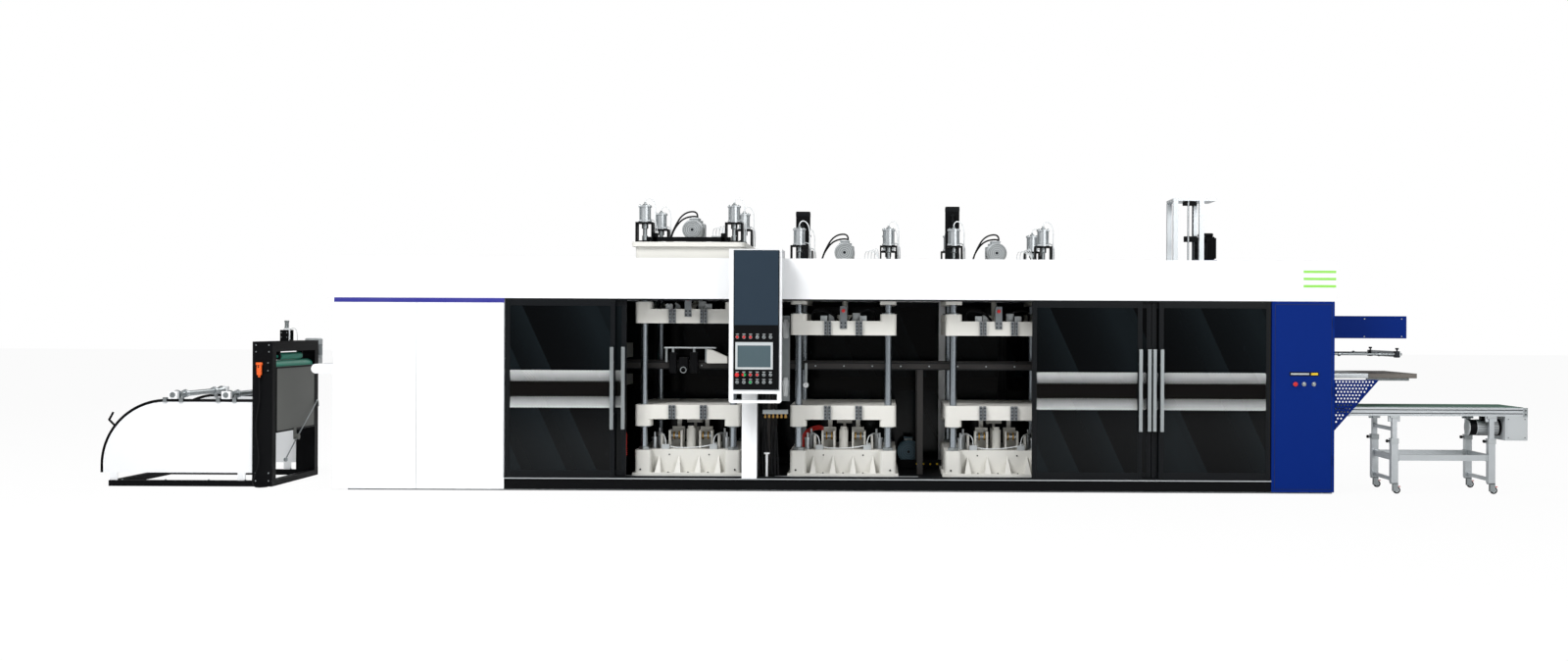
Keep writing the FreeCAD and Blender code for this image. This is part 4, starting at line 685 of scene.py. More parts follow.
@dataclass
class BodyShell:
    """Header, oven panels, plinth, posts and their trim."""

    stripe_thick: float = 0.0015
    lime_left: float = 4.8
    lime_right: float = 5.132
    lime_height: float = 0.025
    lime_z: Row = (2.255, 2.182, 2.108)
    strip_height: float = 0.047
    strip_margin: float = 0.01
    ease: float = 0.0004

    def dress_nodes(self) -> None:
        """Give the shell's CAD nodes their finishes."""
        finishes = {
            # Enamelled sheet steel
            Stock.WHITE: ("header_beams", "header_deck", "oven_panels", "end_walls", "infeed_table",
                          "body_posts", "pendant_arm", "unwinder_side_panels"),
            Stock.BLUE: ("exit_cabinets", "exit_stacker"),
            Stock.NAVY: ("corner_guard",),
            Stock.SLATE: ("pendant_panel",),
            Stock.PALE: ("base_plate", "conveyor_drive"),
            Stock.GREY: ("heater_boxes", "unwinder_apron"),
            Stock.BLACK: ("plinth", "lock_stands", "servo_motors", "unwinder_posts", "unwinder_frame",
                          "unwinder_side_tubes", "film_lift_unit"),
            # Castings and bare metal
            Stock.CASTING: ("press_bases", "press_crowns", "platen_drives",
                            *(f"{level}_platen_{n}" for level in ("lower", "upper") for n in (1, 2, 3))),
            Stock.CHROME: ("press_columns",),
            Stock.RAIL: ("chain_rails",),
            Stock.DIECAST: ("finned_motors", "unwinder_gearmotor"),
            Stock.ALU: ("exit_table", "lock_cylinders", "lift_frame", "conveyor_bed", "conveyor_legs"),
            Stock.STEEL: ("castors", "roll_shaft_1", "roll_shaft_2", "control_pieces"),
            # Profiles, glass, rubber and plastic
            Stock.PROFILE: ("rear_wall_frames", "door_tracks", *(f"door_{n}" for n in range(1, 7))),
            Stock.REAR_GLASS: ("rear_wall_glass",),
            Stock.BELT: ("conveyor_belt",),
            Stock.GREEN: ("nip_roller_lower", "nip_roller_upper"),
            Stock.ORANGE: ("hand_switch",),
            Stock.RUBBER: ("switch_cord",),
        }
        for finish, nodes in finishes.items():
            for node in nodes:
                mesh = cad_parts[node].data
                mesh.materials.clear()
                mesh.materials.append(finish.make())

    def build(self) -> None:
        """Model the stripes on both long sides."""
        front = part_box("header_beams")[0].y
        oven_low, oven_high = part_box("oven_panels")
        skin = (front - self.stripe_thick, front)
        limes = [block((self.lime_left, self.lime_right), skin, run(z, self.lime_height), self.ease)
                 for z in self.lime_z]
        fitted("lime_stripes", both_sides(limes), Stock.LIME)
        strip = block((oven_low.x + self.strip_margin, oven_high.x), skin,
                      (oven_high.z - self.strip_height, oven_high.z), self.ease)
        fitted("indigo_strips", both_sides([strip]), Stock.INDIGO)
        low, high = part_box("plinth")
        edges = [block((low.x, high.x), (low.y - self.stripe_thick, low.y),
                       (high.z - 0.012, high.z - 0.001), self.ease),
                 block((oven_high.x - 0.007, oven_high.x), skin,
                       (high.z, oven_high.z - self.strip_height), self.ease)]
        fitted("edge_trims", edges, Stock.ALU)


# Doors

@dataclass
class DoorLeaf:
    """One sliding leaf with its profile frame, printed pane and pull handle.

    Attributes:
        node: The CAD node that the leaf replaces.
        body: The body that carries it.
        handle_on_right: Side of the pull handle.
    """

    node: str
    body: str
    handle_on_right: bool
    stile: float = 0.048
    rail: float = 0.06
    thick: float = 0.03
    pane_thick: float = 0.01
    pane_lap: float = 0.004
    reach: float = 0.0453
    bar_wide: float = 0.038
    bar_thick: float = 0.02
    bar_length: float = 0.84
    bar_z: float = 1.05
    standoff_spacing: float = 0.527
    standoff_radius: float = 0.01

    def build(self) -> None:
        """Model the leaf in place of its CAD node."""
        low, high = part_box(self.node)
        face = high.y - self.thick
        back = high.y
        parts = [block(x, (face, back), (low.z, high.z))
                 for x in (run(low.x, self.stile), (high.x - self.stile, high.x))]
        parts += [block((low.x + self.stile, high.x - self.stile), (face + 0.001, back - 0.001), z)
                  for z in (run(low.z, self.rail), (high.z - self.rail, high.z))]
        groove = self.stile * 0.35
        for x in (low.x + groove, high.x - self.stile + groove):
            parts.append(block((x, x + groove), (face - 0.0015, face + 0.002),
                               (low.z + 0.01, high.z - 0.01), 0.0005))
        frame_piece = fitted(f"{self.node}_frame", parts, Stock.PROFILE, self.body)
        lap = self.pane_lap
        pane = block((low.x + self.stile - lap, high.x - self.stile + lap),
                     run(face + 0.004, self.pane_thick),
                     (low.z + self.rail - lap, high.z - self.rail + lap), 0.001)
        fitted(f"{self.node}_pane", [pane], Stock.GLASS, self.body)
        self.build_handle(low, high, face)
        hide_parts(self.node)

    def build_handle(self, low: Vector, high: Vector, face: float) -> None:
        """Model the pull handle with its two standoffs and collars.

        Args:
            low: Lowest corner of the leaf's node.
            high: Highest corner of the leaf's node.
            face: Y of the leaf's front face.
        """
        x = high.x - self.stile / 2 if self.handle_on_right else low.x + self.stile / 2
        y1 = face - self.reach
        z0 = self.bar_z - self.bar_length / 2
        parts = [block(about(x, self.bar_wide / 2), (y1 - self.bar_thick, y1), (z0, z0 + self.bar_length),
                       0.004)]
        steps = stages((-0.006, self.standoff_radius * 1.5), (-self.reach, self.standoff_radius))
        parts += [turned((x, face, self.bar_z + side * self.standoff_spacing / 2), Axis.Y, steps, 20)
                  for side in SIDES]
        fitted(f"{self.node}_handle", parts, Stock.STEEL, self.body)


class Doors:
    """All six leaves."""

    def build(self) -> None:
        """Model each leaf on its own body."""
        for leaf in (DoorLeaf("door_1", "machine", True), DoorLeaf("door_2", "left_rear_door", True),
                     DoorLeaf("door_3", "right_front_door", True),
                     DoorLeaf("door_4", "right_rear_door_left", True),
                     DoorLeaf("door_5", "right_rear_door_right", False),
                     DoorLeaf("door_6", "machine", False)):
            leaf.build()


# Press stations

@dataclass(frozen=True)
class Station:
    """One press station.

    Attributes:
        number: Its place along the film, from 1.
        x: Its middle.
        lift: How much higher its upper half stands.
        crown_top: Height of its crown.
    """

    number: int
    x: float
    lift: float
    crown_top: float


STATIONS = (Station(1, -1.51, 0.117, 2.556), Station(2, 0.1, 0.0, 2.322), Station(3, 1.71, 0.0, 2.322))
COLUMN_DX, COLUMN_DY, COLUMN_R = 0.465, 0.6, 0.0375


def column_places(station: Station) -> list[tuple[float, float]]:
    """Axes of the four columns of a station."""
    return [(station.x + sx * COLUMN_DX, sy * COLUMN_DY) for sx, sy in CORNERS]


@dataclass
class Platen:
    """Fittings on one moving platen.

    Attributes:
        station: The station that it belongs to.
        body: The moving body.
        low: Height of the platen's underside.
        high: Height of its top.
        upper: Whether it is the upper platen.
    """

    station: Station
    body: str
    low: float
    high: float
    upper: bool
    face: float = 0.69
    boss: float = 0.072
    guide_offsets: Row = (-0.182, -0.142, 0.142, 0.182)
    guide_half: float = 0.0158
    guide_reach: float = 0.0335
    guide_tall: float = 0.146
    screw: float = 0.0092
    flange: float = 0.066
    flange_thick: float = 0.012
    bolt_circle: float = 0.055

    def build(self) -> None:
        """Model guide covers, screws and bush flanges."""
        middle = (self.low + self.high) / 2
        x = self.station.x
        front = -self.face - self.guide_reach
        covers, heads = [], []
        for offset in self.guide_offsets:
            covers.append(block(about(x + offset, self.guide_half), (front, -self.face),
                                about(middle, self.guide_tall / 2), 0.003))
            heads += screws([(x + offset, front, middle + dz) for dz in (-0.052, -0.018, 0.018, 0.052)],
                            self.screw)
        fitted(f"{self.body}_guide_covers", both_sides(covers), Stock.GUIDE, self.body)
        fitted(f"{self.body}_screws", both_sides(heads), Stock.SCREW, self.body)
        self.build_flanges()

    def build_flanges(self) -> None:
        """Model a flange with its bolts on each column boss."""
        z = self.high + self.boss if self.upper else self.low - self.boss - self.flange_thick
        bolt_z = z + self.flange_thick if self.upper else z
        rings, bolts = [], []
        for cx, cy in column_places(self.station):
            rings.append(ring((cx, cy, z), Axis.Z, COLUMN_R + 0.001, self.flange, self.flange_thick))
            first = screws([(cx + self.bolt_circle, cy, bolt_z)], 0.006, Axis.Z, 1 if self.upper else -1)[0]
            bolts += circled(first, (cx, cy, 0), Axis.Z, 8)
        fitted(f"{self.body}_bush_flanges", rings, Stock.STEEL, self.body)
        fitted(f"{self.body}_bush_bolts", bolts, Stock.SCREW, self.body)


@dataclass
class UpperFittings:
    """Bracket with a red vent knob on the front of the upper platen."""

    station: Station
    face: float = -0.69
    low: float = 1.665
    high: float = 1.9
    half: float = 0.036
    thick: float = 0.014
    knob: float = 0.019
    knob_z: float = 1.852
    valve_spread: float = 0.205

    def build(self) -> None:
        """Model the bracket, its screws, the knob and the two valves beside it."""
        body, lift = f"upper_press_{self.station.number}", self.station.lift
        x, front = self.station.x, self.face - self.thick
        fitted(f"{body}_bracket",
               [block(about(x, self.half), (front, self.face), (self.low + lift, self.high + lift), 0.003)],
               Stock.GUIDE, body)
        heads = screws([(x + sx * 0.02, front, self.low + lift + dz) for sx in SIDES
                        for dz in (0.02, 0.06)], 0.009)
        fitted(f"{body}_bracket_screws", heads, Stock.SCREW, body)
        knob = turned((x, front, self.knob_z + lift), Axis.Y, [
            (0.0, 0.009), (-0.008, 0.009), (-0.009, self.knob), (-0.022, self.knob),
            (-0.025, self.knob * 0.7)
        ], 24)
        fitted(f"{body}_knob", [knob], Stock.RED, body)
        top = 1.746 + lift
        valves = []
        for side in SIDES:
            vx = x + side * self.valve_spread
            valves.append(block(about(vx, 0.035), (-0.64, -0.59), (top, top + 0.055), 0.004))
            valves.append(bar((vx, -0.64, top + 0.03), Axis.Y, 0.014, -0.022, 16))
        fitted(f"{body}_valves", valves, Stock.DIECAST, body)
        arcs = [pipe([(x + side * 0.33, -0.46 - dy, top), (x + side * 0.34, -0.5 - dy, top + 0.1),
                      (x + side * 0.24, -0.54 - dy, top + rise), (x + side * 0.1, -0.52 - dy, top + 0.07),
                      (x + side * 0.06, -0.45 - dy, top)], 0.012)
                for side, dy, rise in ((-1, 0.0, 0.13), (-1, 0.04, 0.11), (1, 0.02, 0.12))]
        fitted(f"{body}_conduits", arcs, Stock.RUBBER, body)
        boxes = [block((x + 0.09, x + 0.17), (-0.56, -0.47), (top, top + 0.085), 0.008),
                 block((x - 0.16, x - 0.1), (-0.54, -0.47), (top, top + 0.07), 0.008),
                 bar((x + 0.13, -0.56, top + 0.045), Axis.Y, 0.028, -0.018)]
        fitted(f"{body}_gearboxes", boxes, Stock.DIECAST, body)


@dataclass
class BaseFittings:
    """Bolts, lock nuts, crank faces and air parts on one press base."""

    station: Station
    flange_top: float = 0.165
    top: float = 0.4
    core: float = 0.55
    bolt_dx: float = 0.207
    shaft_y: float = -0.37
    shaft_z: float = 0.534
    shaft_from: float = 0.098
    shaft_to: float = 0.222

    def build(self) -> None:
        """Model the fittings of one base."""
        x = self.station.x
        heads = screws([(x + dx, -0.655, self.flange_top) for dx in (-self.bolt_dx, 0.0, self.bolt_dx)],
                       0.009, Axis.Z, 1)
        heads += screws([(x + side * 0.49, -0.69, 0.2) for side in SIDES], 0.01)
        heads += screws([(x + side * self.bolt_dx, -self.core, 0.345) for side in SIDES], 0.008)
        fitted(f"base_{self.station.number}_bolts", both_sides(heads), Stock.SCREW)
        nuts = [turned((cx, cy, self.top), Axis.Z, [(0.0, 0.06), (0.026, 0.06), (0.034, 0.05)], 6, 0.002)
                for cx, cy in column_places(self.station)]
        fitted(f"base_{self.station.number}_lock_nuts", nuts, Stock.STEEL)
        self.build_cranks()
        self.build_air_parts()

    def build_cranks(self) -> None:
        """Model the shafts between their white cheeks and the middle cylinder."""
        x, number = self.station.x, self.station.number
        cheeks, shafts, collars = [], [], []
        for side in SIDES:
            ends = sorted((x + side * self.shaft_from, x + side * self.shaft_to))
            cheeks += [block(about(end, 0.011), about(self.shaft_y, 0.06), run(self.top, 0.19), 0.005)
                       for end in ends]
            shafts.append(bar((ends[0], self.shaft_y, self.shaft_z), Axis.X, 0.03, ends[1] - ends[0], 28))
            collars += [bar((x + side * dx - 0.008, self.shaft_y, self.shaft_z), Axis.X, 0.042, 0.016, 28)
                        for dx in (0.125, 0.18)]
            cheeks.append(block(about(x + side * 0.3, 0.012), (-0.47, -0.33), run(self.top, 0.15), 0.005))
        cheeks.append(turned((x, -0.4, self.top), Axis.Z, stages((0.205, 0.046), (0.235, 0.034))))
        fitted(f"base_{number}_cheeks", cheeks, Stock.CASTING)
        fitted(f"base_{number}_shafts", shafts, Stock.CHROME)
        fitted(f"base_{number}_shaft_collars", collars, Stock.BRASS)

    def build_air_parts(self) -> None:
        """Model the small cylinders, their manifolds and their tubes."""
        x, number = self.station.x, self.station.number
        cylinders, blocks, tubes = [], [], []
        for side in SIDES:
            for dx, dy, tall in ((0.345, -0.3, 0.155), (0.38, -0.42, 0.12)):
                cylinders.append(turned((x + side * dx, dy, self.top), Axis.Z,
                                        stages((0.014, 0.034), (tall - 0.02, 0.028), (tall, 0.034),
                                               (tall + 0.05, 0.012)), 24))
            a = x + side * 0.25
            blocks.append(block(about(a, 0.04), (-0.545, -0.485), run(self.top, 0.05), 0.004))
            tubes.append(pipe([
                (a, -0.52, self.top + 0.045), (a, -0.52, self.top + 0.13),
                (a + side * 0.06, -0.48, self.top + 0.17), (x + side * 0.345, -0.34, self.top + 0.16),
                (x + side * 0.345, -0.33, self.top + 0.13)
            ], 0.005))
        fitted(f"base_{number}_cylinders", cylinders, Stock.ALU)
        fitted(f"base_{number}_manifolds", blocks, Stock.DIECAST)
        # A pale tube sags along the front of the drives
        tubes.append(pipe([(x - 0.25, -0.5, self.top + 0.04), (x - 0.2, -0.48, self.top + 0.012),
                           (x, -0.47, self.top + 0.008), (x + 0.2, -0.48, self.top + 0.03),
                           (x + 0.28, -0.5, self.top + 0.06)], 0.006))
        fitted(f"base_{number}_air_tubes", tubes, Stock.TUBE)


class Presses:
    """All press fittings."""

    def build(self) -> None:
        """Dress the platens and bases of every station."""
        for station in STATIONS:
            Platen(station, f"lower_press_{station.number}", 0.722, 0.869, False).build()
            Platen(station, f"upper_press_{station.number}", 1.598 + station.lift, 1.746 + station.lift,
                   True).build()
            UpperFittings(station).build()
            BaseFittings(station).build()


# Drives on top of the crowns

@dataclass
class LockCylinders:
    """Tie rods, top plates, glands and air tubes of one station's lock cylinders."""

    station: Station
    stand: float = 0.209
    height: float = 0.175
    rod_offset: float = 0.047
    rod_radius: float = 0.006
    plate_half: float = 0.062
    loop: float = 0.09

    def build(self) -> None:
        """Model one cylinder's fittings and copy them to the four columns."""
        z0 = self.station.crown_top + self.stand
        z1 = z0 + self.height
        name = f"station_{self.station.number}"
        plates = [block(about(0, self.plate_half), about(0, self.plate_half), (z, z + 0.016), 0.003)
                  for z in (z0 + 0.003, z1 - 0.019)]
        rods = [bar((sx * self.rod_offset, sy * self.rod_offset, z0), Axis.Z, self.rod_radius,
                    self.height + 0.008, 12) for sx, sy in CORNERS]
        rods.append(turned((0, 0, z1), Axis.Z, stages((0.016, 0.024), (0.034, 0.011)), 20))
        rods.append(turned((0, 0, z0 - 0.19), Axis.Z, [(0.0, 0.03), (0.05, 0.03), (0.055, 0.022),
                                                       (0.12, 0.022), (0.125, 0.034), (0.174, 0.034)], 20))
        tubes = [
            pipe([(0, 0, z1 + 0.03), (0, 0, z1 + self.loop * 0.7), (0.05, 0, z1 + self.loop),
                  (0.11, 0, z1 + 0.02), (0.105, 0.0, z0 - 0.02), (0.1, 0.02, z0 - self.stand + 0.02)],
                 0.0055),
            pipe([(0.055, 0.02, z0 + 0.03), (0.1, 0.02, z0 + 0.03), (0.125, 0.02, z0 - 0.05),
                  (0.115, 0.04, z0 - self.stand + 0.02)], 0.0055)
        ]
        feet = screws([(sx * 0.068, sy * 0.058, self.station.crown_top + 0.016) for sx, sy in CORNERS],
                      0.008, Axis.Z, 1)
        for label, parts, finish in (("lock_plates", plates, Stock.ALU), ("lock_rods", rods, Stock.STEEL),
                                     ("lock_tubes", tubes, Stock.TUBE), ("lock_feet", feet, Stock.SCREW)):
            spread = [copied(part, (cx, cy, 0.0)) for cx, cy in column_places(self.station)
                      for part in parts]
            for part in parts:
                bpy.data.objects.remove(part)
            fitted(f"{name}_{label}", spread, finish)


@dataclass
class LyingMotor:
    """Fins, cowl, bell, lid and grille of a motor that lies along Y.

    Attributes:
        name: Name that its pieces start with.
        x: Its middle.
        front: Y of its cowl end.
        z: Height of its axis.
        radius: Radius of its smooth body.
        length: Length of its body.
        finish: Paint of the motor.
    """

    name: str
    x: float
    front: float
    z: float
    radius: float
    length: float
    finish: Finish
    fins: int = 36
    fin_rise: float = 0.012
    fin_thick: float = 0.0035

    def build(self) -> None:
        """Model the motor's outer parts."""
        y0, y1 = self.front, self.front + self.length
        fin = block(about(self.x, self.fin_thick / 2), (y0 + 0.07, y1 - 0.03),
                    (self.z + self.radius - 0.004, self.z + self.radius + self.fin_rise), 0.001)
        fins = circled(fin, (self.x, 0, self.z), Axis.Y, self.fins)
        outer = self.radius + self.fin_rise
        cowl = turned((self.x, y0 + 0.075, self.z), Axis.Y,
                      [(0.0, outer + 0.003), (-0.075, outer + 0.002), (-0.088, outer - 0.012)], 40)
        end = turned((self.x, y1 - 0.035, self.z), Axis.Y,
                     [(0.0, outer), (0.025, outer), (0.04, outer * 0.78), (0.045, outer * 0.45)], 40)
        lid = block(about(self.x, 0.052), (y0 + self.length / 2 - 0.006, y0 + self.length / 2 + 0.096),
                    (self.z + self.radius + 0.026, self.z + self.radius + 0.044), 0.005)
        fitted(f"{self.name}_housing", fins + [cowl, end, lid], self.finish)
        grille = [ring((self.x, y0 - 0.0165, self.z), Axis.Y, r - 0.003, r, 0.004, 36)
                  for r in (outer * 0.3, outer * 0.5, outer * 0.7, outer * 0.86)]
        hub = bar((self.x, y0 - 0.015, self.z), Axis.Y, 0.016, 0.004, 20)
        fitted(f"{self.name}_grille", grille + [hub], Stock.SCREW)


@dataclass
class CrownDrives:
    """Everything that stands on the three crowns and on the deck."""

    motor_front: float = -0.38
    motor_rise: float = 0.148
    motor_radius: float = 0.092
    motor_length: float = 0.3
    gearbox_front: float = -0.078
    valve_left: float = 0.2
    valve_pitch: float = 0.034
    valve_wide: float = 0.028
    servo_offset: float = -0.456
    servo_half: float = 0.0765
    beam_y: Span = (-0.64, -0.56)
    beam_z: float = 2.568

    def build(self) -> None:
        """Dress every crown."""
        for station in STATIONS:
            LockCylinders(station).build()
            LyingMotor(f"crown_motor_{station.number}", station.x, self.motor_front,
                       station.crown_top + self.motor_rise, self.motor_radius, self.motor_length,
                       Stock.DIECAST).build()
            self.build_gearbox(station)
            self.build_cables(station)
        for station, height in zip(STATIONS[1:], (0.6, 0.66)):
            self.build_servo(station, height)
        self.build_beam()
        LyingMotor("base_motor", 0.8, 0.42, 0.305, 0.11, 0.28, Stock.MOTOR).build()

    def build_gearbox(self, station: Station) -> None:
        """Model the worm gearbox behind a crown's motor."""
        x, z = station.x, station.crown_top
        housing = [block(about(x, 0.095), (self.gearbox_front, 0.11), (z, z + 0.235), 0.012),
                   turned((x, 0.016, z + 0.235), Axis.Z, stages((0.03, 0.07), (0.055, 0.046))),
                   bar((x, self.gearbox_front, z + self.motor_rise), Axis.Y, 0.085, -0.016, 32)]
        fitted(f"crown_gearbox_{station.number}", housing, Stock.DIECAST)
        heads = screws([(x + side * 0.075, self.gearbox_front, z + dz) for side in SIDES
                        for dz in (0.03, 0.205)], 0.007)
        fitted(f"crown_gearbox_bolts_{station.number}", heads, Stock.SCREW)

    def build_cables(self, station: Station) -> None:
        """Model the motor's supply conduit and a valve bank beside it."""
        x, z = station.x, station.crown_top
        loops = []
        for shift, rise in ((0.0, 0.36), (0.03, 0.31)):
            loops.append(pipe([
                (x + 0.03, -0.19 + shift, z + 0.27), (x + 0.05, -0.19 + shift, z + rise),
                (x - 0.12, -0.2 + shift, z + rise - 0.02), (x - 0.22, -0.22 + shift, z + 0.16),
                (x - 0.25, -0.24 + shift, z + 0.05), (x - 0.3, -0.24 + shift, z + 0.012)
            ], 0.009))
        fitted(f"crown_conduits_{station.number}", loops, Stock.RUBBER)
        slots = [x + self.valve_left + i * self.valve_pitch for i in range(4)]
        bank = [block(run(left, self.valve_wide), (-0.36, -0.27), (z, z + 0.085), 0.003) for left in slots]
        fitted(f"crown_valves_{station.number}", bank, Stock.PALE)
        pipes = []
        for i, left in enumerate(slots):
            px = left + self.valve_wide / 2
            pipes.append(pipe([(px, -0.34, z + 0.08), (px, -0.34, z + 0.14 + i * 0.012),
                               (px + 0.03, -0.4, z + 0.17 + i * 0.01), (x + 0.36, -0.5, z + 0.12),
                               (x + 0.37, -0.53, z + 0.02)], 0.004))
        fitted(f"crown_air_tubes_{station.number}", pipes, Stock.TUBE)

    def build_servo(self, station: Station, height: float) -> None:
        """Model a servo's cap, bands, plugs and cable.

        Args:
            station: The station that the servo belongs to.
            height: Height of the servo's body.
        """
        x, z, half = station.x + self.servo_offset, station.crown_top, self.servo_half
        bands = [block(about(x, half), about(0, half), (z + height - 0.06, z + height), 0.012),
                 block(about(x, half), about(0, half), run(z + height * 0.55, 0.016), 0.004),
                 block(about(x, 0.068), about(0, 0.083), (z + 0.024, z + 0.2), 0.01)]
        bands += [bar((x, -half + 0.004, z + height - dz), Axis.Y, 0.019, -0.034, 20) for dz in (0.1, 0.16)]
        fitted(f"servo_{station.number}_trim", bands, Stock.PROFILE)
        loops = [pipe([(x, -half - 0.028, z + height - dz), (x, -half - 0.075, z + height - dz - 0.01),
                       (x + 0.01, -half - 0.085, z + height - 0.3), (x + 0.03, -half - 0.07, z + 0.1),
                       (x + 0.1, -half - 0.08, z + 0.01)], 0.0085) for dz in (0.1, 0.16)]
        fitted(f"servo_{station.number}_conduits", loops, Stock.RUBBER)

    def build_beam(self) -> None:
        """Model the black beam that ties the first station's front stands."""
        x = STATIONS[0].x
        beam = block(about(x, 0.43), self.beam_y, run(self.beam_z, 0.045), 0.003)
        ears = [block(about(x + side * 0.36, 0.03), self.beam_y,
                      (self.beam_z - 0.012, self.beam_z + 0.085), 0.003) for side in SIDES]
        fitted("first_crown_beam", both_sides([beam] + ears), Stock.BLACK)


# Operator pendant

class Cap(Enum):
    """Kinds of device on a control row."""

    RED = "red push button"
    GREEN = "green push button"
    KEY = "metal selector"
    STOP = "red mushroom"
    PAIR = "red and green pair"


@dataclass
class Pendant:
    """Face, screen and devices of the operator pendant."""

    face: float = -1.262
    left: float = -0.984
    right: float = -0.531
    dark_low: float = 1.055
    dark_high: float = 1.7
    columns: Row = (-0.947, -0.88, -0.814, -0.746, -0.68, -0.614)
    rows: tuple[tuple[float, tuple[Cap, ...]], ...] = (
        (1.579, (Cap.RED, Cap.RED, Cap.RED, Cap.KEY, Cap.KEY, Cap.KEY)),
        (1.202, (Cap.STOP, Cap.PAIR, Cap.RED, Cap.RED, Cap.KEY, Cap.KEY)),
        (1.128, (Cap.KEY, Cap.KEY, Cap.GREEN, Cap.KEY, Cap.KEY, Cap.KEY)))
    screen_low: Point = (-0.966, 0.0, 1.256)
    screen_high: Point = (-0.59, 0.0, 1.529)
    bezel: float = 0.022

    def build(self) -> None:
        """Model the pendant's face and everything on it."""
        front = self.face - 0.0015
        panel = block((self.left, self.right), (front, self.face + 0.004), (self.dark_low, self.dark_high),
                      0.0007)
        face = fitted("pendant_dark_face", [panel], Stock.BLACK)
        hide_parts("control_pieces")
        rim = [block((x0, x1), (self.face - 0.003, self.face), (1.052, 2.45), 0.001)
               for x0, x1 in ((self.left - 0.002, self.left + 0.004),
                              (self.right - 0.006, self.right + 0.002))]
        fitted("pendant_rim", rim, Stock.PROFILE)
        self.build_screen(front)
        self.build_devices(front)

    def build_screen(self, front: float) -> None:
        """Model the screen with its bezel and a plain lit glass."""
        low, high = self.screen_low, self.screen_high
        fitted("screen_bezel",
               [block((low[0], high[0]), (front - 0.0065, front + 0.001), (low[2], high[2]), 0.003)],
               Stock.PALE)
        glass = block((low[0] + self.bezel, high[0] - self.bezel), (front - 0.0072, front - 0.004),
                      (low[2] + self.bezel, high[2] - 1.5 * self.bezel), 0.0003)
        fitted("screen_glass", [glass], Stock.SCREEN)

    def build_devices(self, front: float) -> None:
        """Model collars, caps, selectors and label plates row by row."""
        collars, labels = [], []
        caps: dict[Finish, Pieces] = {Stock.RED: [], Stock.LAMP_GREEN: [], Stock.STEEL: [], Stock.SCREW: []}
        for z, row in self.rows:
            for x, kind in zip(self.columns, row):
                collars.append(turned((x, front, z), Axis.Y,
                                      [(0.0, 0.0185), (-0.003, 0.0185), (-0.005, 0.0165)], 24, 0.0005))
                labels.append(block(about(x, 0.015), (front - 0.0008, front + 0.0005),
                                    (z + 0.026, z + 0.032), 0.0002))
                self.add_device(caps, kind, (x, front - 0.005, z))
        fitted("button_collars", collars, Stock.STEEL)
        fitted("button_labels", labels, Stock.PALE)
        for finish, parts in caps.items():
            fitted(f"button_{finish.name.replace(' ', '_')}", parts, finish)

    def add_device(self, caps: dict[Finish, Pieces], kind: Cap, place: Point) -> None:
        """Model one device.

        Args:
            caps: Lists of caps by finish, which this adds to.
            kind: Kind of device.
            place: Centre of the collar's front.
        """
        x, y, z = place
        dome = [(0.0, 0.0135), (-0.009, 0.0135), (-0.0125, 0.0105), (-0.014, 0.005)]
        if kind is Cap.STOP:
            caps[Stock.RED].append(turned(place, Axis.Y, [
                (0.0, 0.012), (-0.01, 0.012), (-0.011, 0.0215), (-0.02, 0.0215), (-0.0255, 0.016),
                (-0.0275, 0.007)
            ], 28))
        elif kind is Cap.PAIR:
            for shift, finish in ((0.0105, Stock.LAMP_GREEN), (-0.0105, Stock.RED)):
                caps[finish].append(block(about(x + shift, 0.01), (y - 0.009, y + 0.002), about(z, 0.013)))
        elif kind is Cap.KEY:
            caps[Stock.STEEL].append(turned(place, Axis.Y, dome, 24, 0.0005))
            caps[Stock.SCREW].append(block(about(x, 0.0028), (y - 0.0142, y - 0.002), about(z, 0.012),
                                           0.001))
        else:
            finish = Stock.RED if kind is Cap.RED else Stock.LAMP_GREEN
            caps[finish].append(turned(place, Axis.Y, dome, 24, 0.0005))


# Exit end

